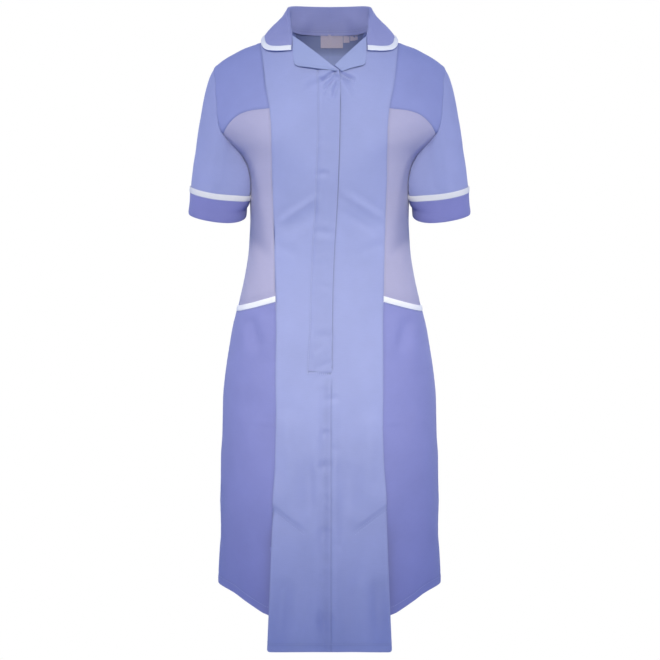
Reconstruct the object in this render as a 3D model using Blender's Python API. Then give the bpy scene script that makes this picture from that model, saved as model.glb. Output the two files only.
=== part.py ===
"""Nurse uniform dress, filled out as worn: piped collar, short sleeves, concealed front opening, kick pleats.

Run with: blender --background --python part.py
Metres, +Z up, front towards -Y. The origin lies at the neck, level with the neck ends of the shoulder seams.
Each piece of cloth is a grid bent to the garment's section functions, with a wall set off behind it.
"""

import math

import bmesh
import bpy
import numpy as np

# Cloth walls and the gaps between them
MM = 0.001
GAP = 0.3 * MM
CLOTH = 1.5 * MM
FACED = 2.0 * MM
TRIM = 1.1 * MM
SQUARENESS = 2.3

# Main levels, measured down from the neck
CHEST = -0.225
UPPER_START = -0.245
OPENING_END = -0.600
PLEAT_TOP = -0.830
BACK_HEM = -0.978
PLEAT_HEM = -1.003
FRONT_HEM = -1.0645

# Front opening: the wearer's right front lies over the left one
OVERLAP = 0.020
OVERLAP_LIFT = CLOTH + GAP + 0.2 * MM
ZIP_TOP = -0.120
LIFT_RUN = 0.040

# Kick pleats
PLEAT_DEPTH = 0.050
PLEAT_FORWARD = 0.040
PLEAT_SLANT = 0.8
PLEAT_LAP = 0.006
PLEAT_INSIDE = 1.4 * MM

# Sleeves
CUFF_HEIGHT = 0.044
PIPING_WIDTH = 0.0100
HEM_CENTRE = (0.199, -0.006, -0.331)
HEM_RADII = (0.0505, 0.062)
HEM_TILT = (0.140, 0.16)
SLEEVE_CLEAR = 2.6 * MM

# Collar
FOLD_RADIUS = 3.5 * MM
COLLAR_LIFT = 1.0 * MM
LEAF_BULGE = 0.0035

# Hip pockets
POCKET_INNER_Z = -0.4680
POCKET_OUTER_Z = -0.4870
POCKET_BOTTOM = -0.682

# Fullness over the bust: the share added to the front's depth, where it is greatest (x, z), and its reach
BUST_SHARE = 0.062
BUST_AT = (0.086, -0.198)
BUST_REACH = (0.050, 0.060)

# Labels inside the back of the neck: width, drop, left edge
LABELS = {
    "neck_label": (0.041, 0.0245, -0.0163),
    "size_tab_a": (0.0120, 0.0148, 0.0254),
    "size_tab_b": (0.0128, 0.0118, 0.0384),
}


class Table:
    """Rows of numbers with named columns, read as smooth lines that never overshoot their rows."""

    def __init__(self, columns, rows):
        order = sorted(rows)
        self.names = columns.split()
        self.rows = np.array(order, float)

    def __call__(self, name, at):
        keys = self.rows[:, 0]
        values = self.rows[:, self.names.index(name)]
        steps = np.diff(keys)
        slopes = np.diff(values) / steps
        ends = np.concatenate([slopes[:1], np.zeros(len(slopes) - 1), slopes[-1:]])
        before, after = slopes[:-1], slopes[1:]
        turning = before * after <= 0
        weight_a = 2 * steps[1:] + steps[:-1]
        weight_b = steps[1:] + 2 * steps[:-1]
        safe_before = np.where(turning, 1, before)
        safe_after = np.where(turning, 1, after)
        mean = (weight_a + weight_b) / (weight_a / safe_before + weight_b / safe_after)
        ends[1:-1] = np.where(turning, 0, mean)
        at = np.clip(np.asarray(at, float), keys[0], keys[-1])
        i = np.clip(np.searchsorted(keys, at) - 1, 0, len(steps) - 1)
        t = (at - keys[i]) / steps[i]
        rise = values[i] * (1 + 2 * t) * (1 - t) ** 2 + values[i + 1] * t * t * (3 - 2 * t)
        lean = ends[i] * t * (1 - t) ** 2 - ends[i + 1] * t * t * (1 - t)
        return rise + lean * steps[i]


# The garment's section at each level: half its width, and its depth to the front and to the back.
# Above the chest the level counts up to the shoulder line, where both depths end.
BODY = Table(
    "level half front back",
    [
        (0.000, 0.206, 0.000, 0.000),
        (-0.008, 0.209, 0.032, 0.032),
        (-0.024, 0.212, 0.055, 0.056),
        (-0.045, 0.214, 0.072, 0.073),
        (-0.080, 0.217, 0.091, 0.088),
        (-0.120, 0.217, 0.108, 0.099),
        (-0.160, 0.210, 0.122, 0.106),
        (-0.200, 0.182, 0.131, 0.109),
        (CHEST, 0.1585, 0.133, 0.109),
        (-0.245, 0.1475, 0.132, 0.108),
        (-0.270, 0.1420, 0.128, 0.106),
        (-0.300, 0.1410, 0.121, 0.102),
        (-0.350, 0.1400, 0.111, 0.099),
        (-0.400, 0.1440, 0.109, 0.102),
        (-0.460, 0.1550, 0.113, 0.110),
        (-0.540, 0.1740, 0.122, 0.122),
        (-0.620, 0.1860, 0.129, 0.131),
        (-0.714, 0.1920, 0.134, 0.135),
        (-0.850, 0.1955, 0.138, 0.138),
        (-1.060, 0.1990, 0.148, 0.145),
    ],
)
SHOULDER = Table(
    "x z",
    [(0, 0.062), (0.025, 0.054), (0.050, 0.028), (0.069, 0.004), (0.090, -0.010), (0.120, -0.0225),
     (0.160, -0.0395), (0.190, -0.0545), (0.212, -0.0740)],
)
# Seams of the front: the princess seam beside the centre panel, and the edge of the opening
FRONT_SEAMS = Table(
    "level princess edge",
    [
        (0.000, 0.1210, 0.0160),
        (-0.037, 0.1170, 0.0160),
        (-0.095, 0.1100, 0.0165),
        (-0.143, 0.1020, 0.0178),
        (-0.190, 0.0985, 0.0170),
        (-0.287, 0.0980, 0.0137),
        (-0.390, 0.0950, 0.0080),
        (-0.475, 0.0928, 0.0050),
        (OPENING_END, 0.0920, 0.0036),
        (-0.680, 0.0920, 0.0026),
        (PLEAT_TOP, 0.0970, 0.0026),
        (FRONT_HEM, 0.1052, 0.0026),
    ],
)
# Armhole, as the angle round the section at each level, before and behind the arm
ARMHOLE = Table(
    "level front back",
    [(0, 83, 83), (-0.020, 73, 75), (-0.057, 66, 69), (-0.124, 63, 66), (-0.160, 64, 67),
     (-0.185, 69, 72), (-0.205, 76, 79), (CHEST, 90, 90)],
)
# Lower seam of the shoulder panel
YOKE = Table("x z", [(0.095, -0.147), (0.102, -0.148), (0.130, -0.1505), (0.152, -0.1560), (0.172, -0.1700),
                     (0.188, -0.1950), (0.215, -0.240)])
# Edge of each front at the neck: the lapel's roll line, then the neck seam
NECK_RIGHT = Table("x z", [(-0.300, 0.100), (-0.074, 0.0300), (-0.0685, -0.0040), (-0.064, -0.0210), (-0.030, -0.0505),
                           (0.006, -0.0785), (0.018, -0.0895)])
NECK_LEFT = Table("x z", [(-0.010, -0.0825), (0.006, -0.0785), (0.030, -0.0560), (0.064, -0.0210), (0.0685, -0.0040),
                          (0.074, 0.0300), (0.300, 0.100)])
NECK_BACK = Table("x z", [(0.000, -0.0005), (0.030, -0.0010), (0.052, -0.0018), (0.064, -0.0015), (0.0690, -0.0005),
                          (0.074, 0.0300), (0.300, 0.100)])
# Hem of the skirt's side pieces, which drops towards the front
HEM = Table("x z", [(0.090, -1.0165), (0.104, -1.0135), (0.128, -1.0020), (0.146, -0.9926), (0.164, -0.9850),
                    (0.180, -0.9805), (0.200, -0.9780)])
# Direction in which the sleeve leaves the armhole, and how far it keeps to it
SLEEVE_START = Table(
    "turn x y z reach",
    [
        (0, 0.66, 0.00, -0.75, 0.115),
        (45, 0.42, -0.16, -0.88, 0.120),
        (90, 0.05, -0.34, -0.94, 0.100),
        (130, -0.45, -0.50, -0.74, 0.090),
        (180, -0.62, 0.00, -0.78, 0.105),
        (230, -0.40, 0.45, -0.80, 0.085),
        (270, 0.05, 0.34, -0.94, 0.100),
        (315, 0.42, 0.16, -0.88, 0.120),
        (360, 0.66, 0.00, -0.75, 0.115),
    ],
)
# Half of the collar, from the centre back to its front end: neck seam, fold and outer edge
COLLAR = Table(
    "along seam_x seam_y seam_z fold_x fold_y fold_z edge_x edge_z back",
    [
        (0.00, 0.0000, 0.0742, 0.0010, 0.0000, 0.0800, 0.0490, 0.0000, -0.0280, 1),
        (0.18, 0.0262, 0.0692, 0.0006, 0.0280, 0.0745, 0.0485, 0.0420, -0.0285, 1),
        (0.36, 0.0524, 0.0498, 0.0000, 0.0565, 0.0560, 0.0465, 0.0830, -0.0290, 1),
        (0.52, 0.0668, 0.0222, 0.0015, 0.0722, 0.0280, 0.0405, 0.1085, -0.0280, 1),
        (0.66, 0.0690, -0.0060, 0.0035, 0.0738, -0.0020, 0.0265, 0.1190, -0.0218, 0),
        (0.76, 0.0688, -0.0240, -0.0020, 0.0702, -0.0230, 0.0080, 0.1165, -0.0365, -1),
        (0.85, 0.0680, -0.0370, -0.0080, 0.0688, -0.0370, -0.0050, 0.1060, -0.0455, -1),
        (0.93, 0.0665, -0.0480, -0.0135, 0.0668, -0.0485, -0.0130, 0.0850, -0.0480, -1),
        (1.00, 0.0645, -0.0570, -0.0205, 0.0648, -0.0585, -0.0200, 0.0640, -0.0480, -1),
    ],
)
# Lower edge of each lapel as (x, z), from its outer corner to the bottom of the neckline
LAPEL_EDGE = {
    "right": [(-0.0612, -0.0680), (-0.0590, -0.0750), (-0.0535, -0.0780), (-0.0250, -0.0825), (0.0150, -0.0880)],
    "left": [(0.0622, -0.0665), (0.0610, -0.0725), (0.0570, -0.0755), (0.0400, -0.0800), (0.0205, -0.0872)],
}
LAPEL_TOP = (0.0640, -0.0210)
NECK_POINT = {"right": (0.0060, -0.0790), "left": (0.0085, -0.0770)}

COLOURS = {
    "cloth": (0.36, 0.42, 0.72),
    "cloth_facing": (0.34, 0.40, 0.70),
    "piping": (0.90, 0.90, 0.92),
    "label": (0.50, 0.48, 0.50),
    "zip": (0.30, 0.35, 0.62),
}


def clear_scene():
    for thing in list(bpy.data.objects):
        bpy.data.objects.remove(thing)


def make_materials():
    made = {}
    for name, colour in COLOURS.items():
        material = bpy.data.materials.new(name)
        material.use_nodes = True
        shader = material.node_tree.nodes["Principled BSDF"]
        shader.inputs["Base Color"].default_value = (*colour, 1)
        shader.inputs["Roughness"].default_value = 0.8
        shader.inputs["Metallic"].default_value = 0
        made[name] = material
    return made


def power(value, exponent):
    return np.sign(value) * np.abs(value) ** exponent


def ramp(value, start, end):
    """0 before start, 1 past end, and a smooth step between."""
    t = np.clip((value - start) / (end - start), 0, 1)
    return t * t * (3 - 2 * t)


def depth_of(column, level):
    """Depth of a section. Its square is what runs smoothly into the shoulder line."""
    return np.sqrt(np.maximum(SQUARED(column, level), 0))


SQUARED = Table("level front back", [(r[0], r[2] ** 2, r[3] ** 2) for r in BODY.rows])


def height_of(x, level):
    """Height of the cloth at x. Above the chest, levels are drawn up to the sloping shoulder line."""
    share = np.clip(1 - level / CHEST, 0, 1)
    return np.where(level < CHEST, level, CHEST + share * (SHOULDER("z", np.abs(x)) - CHEST))


def level_of(x, z):
    share = np.maximum((z - CHEST) / (SHOULDER("z", np.abs(x)) - CHEST), 0)
    return np.where(z < CHEST, z, CHEST * (1 - np.minimum(share, 1)))


def swell(x, z):
    """By how much the bust deepens the front."""
    across = (np.abs(x) - BUST_AT[0]) / BUST_REACH[0]
    up = (z - BUST_AT[1]) / BUST_REACH[1]
    return 1 + BUST_SHARE * np.exp(-(across**2) - up**2)


def body(turn, level):
    """The cloth's outer face. turn runs from 0 at the centre front, by the wearer's left, to 180 behind."""
    angle = np.radians(turn)
    half = BODY("half", level)
    x = half * power(np.sin(angle), 2 / SQUARENESS)
    z = height_of(x, level)
    depth = np.where(np.cos(angle) > 0, depth_of("front", level) * swell(x, z), depth_of("back", level))
    return np.stack([x, -depth * power(np.cos(angle), 2 / SQUARENESS), z], axis=-1)


def turn_at(x, level):
    """The turn at which the front of the section is x from the middle."""
    share = np.clip(np.abs(x) / BODY("half", level), 0, 1)
    return np.degrees(np.arcsin(share ** (SQUARENESS / 2))) * np.sign(x)


def front_face(x, level):
    """The cloth's outer face in front, at x from the middle."""
    half = BODY("half", level)
    share = np.maximum(1 - np.minimum(np.abs(x) / half, 1) ** SQUARENESS, 0)
    x = x + 0 * share
    z = height_of(x, level)
    return np.stack([x, -depth_of("front", level) * share ** (1 / SQUARENESS) * swell(x, z), z], axis=-1)


def centre_face(x, level):
    """The centre front. Its lower part is flat, and swings forward of the side panels below the pleats' tops."""
    points = front_face(x, level)
    edge_y = front_face(FRONT_SEAMS("princess", level), level)[..., 1]
    flat = ramp(-level, 0.62, 1.0)
    forward = PLEAT_FORWARD * (np.maximum(PLEAT_TOP - level, 0) / (PLEAT_TOP - FRONT_HEM)) ** 1.25
    points[..., 1] += (edge_y - points[..., 1]) * flat - forward
    return points


def tangents(points):
    """Directions along the grid's rows of points, as of a parabola through each point and its neighbours."""
    steps = np.diff(points, axis=0)
    lengths = np.maximum(np.linalg.norm(steps, axis=-1, keepdims=True), 1e-12)
    ways = steps / lengths
    if len(ways) == 1:
        return np.concatenate([ways, ways])
    both = lengths[:-1] + lengths[1:]
    middle = (ways[:-1] * lengths[1:] + ways[1:] * lengths[:-1]) / both
    first = ways[:1] + (ways[:1] - ways[1:2]) * lengths[:1] / both[:1]
    last = ways[-1:] + (ways[-1:] - ways[-2:-1]) * lengths[-1:] / both[-1:]
    return np.concatenate([first, middle, last])


def grid_normals(points, ring=False):
    """Outward normals. Borders in the middle plane or the plane of the side seams keep theirs in that plane."""
    if ring:
        points = np.concatenate([points[:, -2:-1], points, points[:, 1:2]], axis=1)
    across = tangents(points.swapaxes(0, 1)).swapaxes(0, 1)
    normals = np.cross(across, tangents(points))
    if ring:
        normals = normals[:, 1:-1]
    else:
        for axis in (0, 1):
            normals[..., axis] *= np.abs(points[..., axis]) > 0.6 * MM
    return normals / np.maximum(np.linalg.norm(normals, axis=-1, keepdims=True), 1e-12)


def moved_out(points, distance):
    return points + grid_normals(points) * np.asarray(distance)[..., None]


def trimmed(points, left=GAP / 2, right=GAP / 2, low=GAP / 2, high=GAP / 2):
    """Draws a grid's borders in from its seams."""
    points = points.copy()
    for index, inner, amount in ((0, 1, left), (-1, -2, right)):
        step = points[:, inner] - points[:, index]
        points[:, index] += step / np.linalg.norm(step, axis=-1, keepdims=True) * amount
    for index, inner, amount in ((0, 1, low), (-1, -2, high)):
        step = points[inner] - points[index]
        points[index] += step / np.linalg.norm(step, axis=-1, keepdims=True) * amount
    return points


def mirrored(points):
    """The same grid on the other side, with its columns still running so that it faces out."""
    return points[:, ::-1] * np.array([-1, 1, 1])


def panel(place, columns, rows, low, high, levels=(), tops=(0,)):
    """A grid of cloth. place(share, level) gives a point, share running across the panel.

    low and high give, from a point's x, the heights between which the panel lies. levels are rows that every
    column has, and tops are rows by their distance from the top; the other rows lie evenly between these.
    """
    share = np.linspace(0, 1, columns + 1)[:, None]
    fine = -1.07 * np.linspace(1, 0, 1800)[None, :] ** 2
    lines = place(share, fine)
    fine = np.broadcast_to(fine, lines.shape[:2])
    grid = []
    for line, level in zip(lines, fine):
        x, z = line[:, 0], line[:, 2]
        over = np.where(z >= low(x))[0][0]
        past = np.where(z > high(x))[0]
        past = past[past > over]
        end = past[0] - 1 if len(past) else len(z) - 1
        length = np.concatenate([[0], np.cumsum(np.linalg.norm(np.diff(line, axis=0), axis=1))])
        first, last = crossing(length, z - low(x), over), length[-1]
        if len(past):
            last = crossing(length, z - high(x), end + 1)
        fixed = [first, *(np.interp(value, level, length) for value in levels)]
        at = np.concatenate([fixed[:-1], np.linspace(fixed[-1], last - tops[0], rows + 1), last - np.array(tops[1:])])
        grid.append([np.interp(at, length, line[:, k]) for k in range(3)])
    return np.array(grid).transpose(2, 0, 1)


def crossing(length, value, index):
    """Length at which value passes 0 just before index."""
    if index == 0:
        return length[0]
    part = value[index - 1] / (value[index - 1] - value[index])
    return length[index - 1] + part * (length[index] - length[index - 1])


def cloth(name, points, thickness, material, ring=False, normals=None):
    """A solid whose outer face is the grid and whose wall lies behind it. A ring's first and last columns are one.

    Each square is split along the diagonal that stands further out, so that layers of cloth have the same folds.
    """
    inner = points - (grid_normals(points, ring) if normals is None else normals) * thickness
    if ring:
        points, inner = points[:, :-1], inner[:, :-1]
    rows, columns = points.shape[:2]
    shape = bmesh.new()
    outer_at, inner_at = ([[shape.verts.new(place) for place in row] for row in face] for face in (points, inner))
    strips = range(columns) if ring else range(columns - 1)
    for row in range(rows - 1):
        for column in strips:
            beside = (column + 1) % columns
            corners = [(row, column), (row, beside), (row + 1, beside), (row + 1, column)]
            a, b, c, d = (points[i, j] for i, j in corners)
            if np.dot(a + c - b - d, np.cross(c - a, d - b)) < 0:
                corners = corners[1:] + corners[:1]
            for triangle in ((0, 1, 2), (0, 2, 3)):
                picked = [corners[k] for k in triangle]
                shape.faces.new([outer_at[i][j] for i, j in picked])
                shape.faces.new([inner_at[i][j] for i, j in reversed(picked)])
    for column in strips:
        beside = (column + 1) % columns
        low = (outer_at[0][beside], outer_at[0][column], inner_at[0][column], inner_at[0][beside])
        high = (outer_at[-1][column], outer_at[-1][beside], inner_at[-1][beside], inner_at[-1][column])
        shape.faces.new(low)
        shape.faces.new(high)
    if not ring:
        for row in range(rows - 1):
            shape.faces.new((outer_at[row][0], outer_at[row + 1][0], inner_at[row + 1][0], inner_at[row][0]))
            shape.faces.new((outer_at[row + 1][-1], outer_at[row][-1], inner_at[row][-1], inner_at[row + 1][-1]))
    mesh = bpy.data.meshes.new(name)
    shape.to_mesh(mesh)
    shape.free()
    mesh.shade_smooth()
    mesh.materials.append(material)
    COLLECTION.objects.link(bpy.data.objects.new(name, mesh))


def both_sides(name, points, thickness, material, ring=False, normals=None):
    """A left piece and its mirror image on the wearer's right."""
    cloth(name + "_left", points, thickness, material, ring, normals)
    other = None if normals is None else mirrored(normals)
    cloth(name + "_right", mirrored(points), thickness, material, ring, other)


def patch(grid, columns, low, high):
    """Points and normals of the part of a piece between two heights, kept to its own columns and rows."""
    part = np.concatenate([grid, grid_normals(grid)], axis=-1)[:, columns]
    low_z, high_z = low(np.abs(part[0, :, 0])), high(np.abs(part[-1, :, 0]))
    for _ in range(4):
        ends = []
        for height in (low_z, high_z):
            row = [[np.interp(h, line[:, 2], line[:, k]) for k in range(6)] for h, line in zip(height, part.swapaxes(0, 1))]
            ends.append(np.array(row))
        low_z, high_z = low(np.abs(ends[0][:, 0])), high(np.abs(ends[1][:, 0]))
    clear = 3 * MM
    kept = [row for row in part if (row[:, 2] > ends[0][:, 2] + clear).all() and (row[:, 2] < ends[1][:, 2] - clear).all()]
    found = np.array([ends[0], *kept, ends[1]])
    normals = found[..., 3:] / np.linalg.norm(found[..., 3:], axis=-1, keepdims=True)
    return found[..., :3], normals


def everywhere(height):
    return lambda x: np.full_like(x, height)


SKIRT_ROWS = (-0.93, -0.86, -0.80, -0.72, -0.66, -0.60, -0.585, -0.53)
WAIST_ROWS = (-0.43, -0.39, -0.35, -0.315, -0.28, UPPER_START)
LONG_ROWS = (*SKIRT_ROWS, POCKET_INNER_Z, *WAIST_ROWS)
CHEST_ROWS = (-0.2204, -0.1945, -0.1686, -0.1427)


def make_centre_fronts():
    """The two centre fronts: below the opening they meet, and along it the right one lies over the left."""
    edge_gap = lambda level: OVERLAP * ramp(level, OPENING_END, OPENING_END + 0.014)

    def left_place(share, level):
        outer = FRONT_SEAMS("princess", level)
        inner = FRONT_SEAMS("edge", level) - edge_gap(level)
        return centre_face(inner + (outer - inner) * share, level)

    def right_place(share, level):
        outer = FRONT_SEAMS("princess", level)
        inner = FRONT_SEAMS("edge", level)
        x = -outer + (inner + outer) * share
        points = centre_face(x, level)
        near = ramp(x - inner, -LIFT_RUN, -LIFT_RUN / 2)
        above = ramp(level, OPENING_END - 0.09, OPENING_END - 0.01)
        points[..., 1] -= OVERLAP_LIFT * near * above
        return points

    hem = everywhere(FRONT_HEM)
    rows = (*LONG_ROWS, *CHEST_ROWS)
    left = trimmed(panel(left_place, 9, 7, hem, lambda x: NECK_LEFT("z", x), rows))
    right = trimmed(panel(right_place, 11, 7, hem, lambda x: NECK_RIGHT("z", x), rows))
    cloth("front_centre_left", left, CLOTH, MATERIALS["cloth"])
    cloth("front_centre_right", right, CLOTH, MATERIALS["cloth"])
    tape, normals = patch(left, slice(0, 3), everywhere(OPENING_END + 0.02), everywhere(ZIP_TOP))
    behind = tape - normals * (CLOTH + GAP)
    cloth("zip_tape", behind, TRIM, MATERIALS["zip"], normals=normals)


def side_edge(level, column="front"):
    """The outer edge of a front or back, as a turn: the side seam, and the armhole above it."""
    turn = np.where(level < CHEST, 90, ARMHOLE(column, level))
    return turn if column == "front" else 180 - turn


def pleat_lap(level):
    """How far the side panel's front edge lies behind the centre panel."""
    return 0.010 * ramp(-level, 0.872, 0.94)


def side_place(share, level):
    inner = turn_at(FRONT_SEAMS("princess", level) - pleat_lap(level), level)
    return body(inner + (side_edge(level) - inner) * share, level)


def make_side_fronts():
    """The side panel runs down behind the pocket's mouth. The skirt's side piece is the pocket's outer layer."""
    bag = panel(side_place, 7, 3, everywhere(POCKET_BOTTOM), pocket_mouth)
    dip = panel(side_place, 7, 1, pocket_mouth, lambda x: pocket_mouth(x) + 0.014)
    above = panel(side_place, 7, 4, lambda x: pocket_mouth(x) + 0.014, lambda x: YOKE("z", x), WAIST_ROWS)
    upper = np.concatenate([bag[:-1], dip[:-1], above])
    sunk = np.zeros(upper.shape[:2])
    sunk[: len(bag)] = CLOTH + GAP + 0.3 * MM
    both_sides("front_side", moved_out(trimmed(upper, high=2 * GAP), -sunk), CLOTH, MATERIALS["cloth"])
    yoke = panel(side_place, 7, 7, lambda x: YOKE("z", x), everywhere(1))
    both_sides("front_yoke", trimmed(yoke), CLOTH, MATERIALS["cloth"])
    tops = (PIPING_WIDTH, 0)
    skirt = trimmed(panel(side_place, 7, 1, lambda x: HEM("z", x), pocket_mouth, SKIRT_ROWS, tops))
    both_sides("skirt_side", skirt, CLOTH, MATERIALS["cloth"])
    strip, normals = skirt[-2:], grid_normals(skirt)[-2:]
    both_sides("pocket_piping", strip + normals * (GAP + TRIM), TRIM, MATERIALS["piping"], normals=normals)


def make_backs():
    def place(share, level):
        outer = side_edge(level, "back")
        return body(outer + (180 - outer) * share, level)

    tops = (LABELS["neck_label"][1], LABELS["size_tab_a"][1], 0)
    rows = LONG_ROWS
    back = trimmed(panel(place, 16, 9, everywhere(BACK_HEM), lambda x: NECK_BACK("z", x), rows, tops))
    both_sides("back", back, CLOTH, MATERIALS["cloth"])
    make_labels(back)


def make_labels(back):
    """The labels, which hang from the back neck seam and lie on the inside of the back."""
    half = np.concatenate([back, grid_normals(back)], axis=-1)[-3:, -4:]
    other = np.concatenate([mirrored(half[..., :3]), mirrored(half[..., 3:])], axis=-1)
    whole = np.concatenate([half[:, :-1], (half[:, -1:] + other[:, :1]) / 2, other[:, 1:]], axis=1)
    drops = np.array([LABELS["neck_label"][1], LABELS["size_tab_a"][1], 0])
    for name, (width, drop, left) in LABELS.items():
        inside = [x for x in whole[0, :, 0] if left + 3 * MM < x < left + width - 3 * MM]
        columns = sorted([left, left + width, *inside], reverse=True)
        lines = np.array([
            [[np.interp(x, row[::-1, 0], row[::-1, k]) for k in range(6)] for x in columns] for row in whole
        ])
        share = (drops[:-1] - drop) / (drops[:-1] - drops[1:])
        first = np.where(share >= 0)[0][-1]
        lowest = lines[first] + (lines[first + 1] - lines[first]) * share[first]
        found = np.array([lowest, *lines[first + 1 :]])
        points, normals = found[..., :3], found[..., 3:]
        cloth(name, points - normals * (CLOTH + GAP), TRIM, MATERIALS["label"], normals=normals)


def make_pleats():
    """The cloth folded behind the centre front: one layer behind it, a turn, and one back to the side panel."""
    out_shares = np.linspace(0, 1, 6)
    turn_angles = np.radians((45, 90, 135))
    rows = np.linspace(0, 1, 7)[:, None]
    tip = FRONT_SEAMS("princess", PLEAT_TOP)
    deep = PLEAT_DEPTH * np.concatenate([out_shares, np.ones(3), out_shares[::-1]])
    level = PLEAT_HEM + rows * (PLEAT_TOP - 0.004 - PLEAT_SLANT * deep - PLEAT_HEM)
    edge = FRONT_SEAMS("princess", level) - 2.0 * MM
    behind = centre_face(edge - deep, level)
    first_y = behind[..., 1] + 2 * CLOTH + GAP
    side_x = FRONT_SEAMS("princess", level) - pleat_lap(level) + PLEAT_LAP
    side_y = front_face(side_x, level)[..., 1] + CLOTH + GAP + 1.2 * MM
    fold_y = first_y + PLEAT_INSIDE
    last_x = side_x + 0 * deep
    last_y = np.maximum(side_y, fold_y)
    back_share = np.concatenate([np.zeros(9), np.linspace(0, 1, 6)])[None, :]
    points = np.empty((*level.shape, 3))
    points[..., 0] = edge - deep
    points[..., 1] = first_y
    points[..., 2] = height_of(tip, level)
    points[:, 9:, 0] = ((edge - PLEAT_DEPTH) + (last_x - edge + PLEAT_DEPTH) * back_share)[:, 9:]
    points[:, 9:, 1] = (fold_y + (last_y - fold_y) * back_share)[:, 9:]
    for column, angle in zip(range(6, 9), turn_angles):
        points[:, column, 0] -= PLEAT_INSIDE / 2 * math.sin(angle)
        points[:, column, 1] += PLEAT_INSIDE / 2 * (1 - math.cos(angle))
    both_sides("pleat", points, CLOTH, MATERIALS["cloth"])


def pocket_mouth(x):
    """Height of the pocket's mouth, which falls from the princess seam to the side seam."""
    share = np.clip((x - 0.0928) / (0.158 - 0.0928), 0, 1)
    return POCKET_INNER_Z + (POCKET_OUTER_Z - POCKET_INNER_Z) * share


def armhole_loop(turns):
    """Points of the armhole from its top, by the front, to the underarm and back up behind."""
    levels = CHEST * np.linspace(0, 1, 400) ** 2
    halves = []
    for column in ("front", "back"):
        turn = ARMHOLE(column, levels)
        line = body(turn if column == "front" else 180 - turn, levels)
        length = np.concatenate([[0], np.cumsum(np.linalg.norm(np.diff(line, axis=0), axis=1))])
        halves.append((line, length / length[-1]))
    points = []
    for turn in turns:
        line, share = halves[0] if turn <= 180 else halves[1]
        at = turn / 180 if turn <= 180 else (360 - turn) / 180
        points.append([np.interp(at, share, line[:, k]) for k in range(3)])
    return np.array(points)


def clear_of_body(points, clearance):
    """Pushes points outwards from the side of the body, where a sleeve hangs against it."""
    x, y, z = points[..., 0], points[..., 1], points[..., 2]
    level = np.minimum(z, CHEST)
    half = BODY("half", level) + clearance
    depth = np.where(y < 0, depth_of("front", level), depth_of("back", level)) + clearance
    reach = (np.abs(x / half) ** SQUARENESS + np.abs(y / depth) ** SQUARENESS) ** (1 / SQUARENESS)
    scale = np.where(reach < 1, 1 / np.maximum(reach, 1e-6), 1)
    moved = points.copy()
    moved[..., 0] = x * scale
    moved[..., 1] = y * scale
    part = ramp(-z, -CHEST - 0.015, -CHEST + 0.01)[..., None]
    return points + (moved - points) * part


def sleeve_lines(turns, steps):
    """Lines down the left sleeve from the armhole to the hem, one for each turn round the arm."""
    start = armhole_loop(turns)
    angle = np.radians(turns)
    hem = np.empty_like(start)
    hem[:, 0] = HEM_CENTRE[0] + HEM_RADII[0] * np.cos(angle)
    hem[:, 1] = HEM_CENTRE[1] - HEM_RADII[1] * np.sin(angle)
    lean = HEM_TILT[0] * (hem[:, 0] - HEM_CENTRE[0]) + HEM_TILT[1] * (hem[:, 1] - HEM_CENTRE[1])
    hem[:, 2] = HEM_CENTRE[2] + lean
    leave = np.stack([SLEEVE_START(axis, turns) for axis in "xyz"], axis=-1)
    leave = leave / np.linalg.norm(leave, axis=-1, keepdims=True)
    low = np.cos((angle - math.pi) / 2) ** 4
    outwards = np.array([0.55, 0, 0.2])[None, :] * low[:, None] * (CLOTH + 2 * GAP) / 0.55
    start = start + leave * (4 * GAP) * (1 - low[:, None]) + outwards
    reach = SLEEVE_START("reach", turns)[:, None]
    arrive = np.array([0.10, 0.0, -0.995]) * 0.16
    t = np.linspace(0, 1, steps)[:, None, None]
    lines = (
        (1 + 2 * t) * (1 - t) ** 2 * start
        + t * (1 - t) ** 2 * (leave * reach)
        + t * t * (3 - 2 * t) * hem
        - t * t * (1 - t) * arrive
    )
    return clear_of_body(lines, SLEEVE_CLEAR)


def cut_lines(lines, first, last, rows, from_end=True):
    """Rows of points along the lines, first and last being lengths from the hem."""
    grid = []
    for column in range(lines.shape[1]):
        line = lines[:, column]
        length = np.concatenate([[0], np.cumsum(np.linalg.norm(np.diff(line, axis=0), axis=1))])
        start = 0 if first is None else length[-1] - first
        at = np.linspace(start, length[-1] - last, rows + 1)
        grid.append([np.interp(at, length, line[:, k]) for k in range(3)])
    return np.array(grid).transpose(2, 0, 1)


def ring_moved_out(points, distance):
    """moved_out for a ring, whose first and last columns are one."""
    return points + grid_normals(points, ring=True) * distance


def make_sleeves():
    turns = np.linspace(0, 360, 25)
    lines = sleeve_lines(turns, 160)
    sleeve = cut_lines(lines, None, CUFF_HEIGHT + GAP, 9)
    cuff = ring_moved_out(cut_lines(lines, CUFF_HEIGHT, 0, 2), 0.5 * MM)
    piping = cut_lines(lines, CUFF_HEIGHT + PIPING_WIDTH / 2, CUFF_HEIGHT - PIPING_WIDTH / 2, 1)
    both_sides("sleeve", sleeve, CLOTH, MATERIALS["cloth"], ring=True)
    both_sides("cuff", cuff, FACED, MATERIALS["cloth"], ring=True)
    both_sides("cuff_piping", ring_moved_out(piping, 0.5 * MM + GAP + TRIM), TRIM, MATERIALS["piping"], ring=True)


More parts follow.
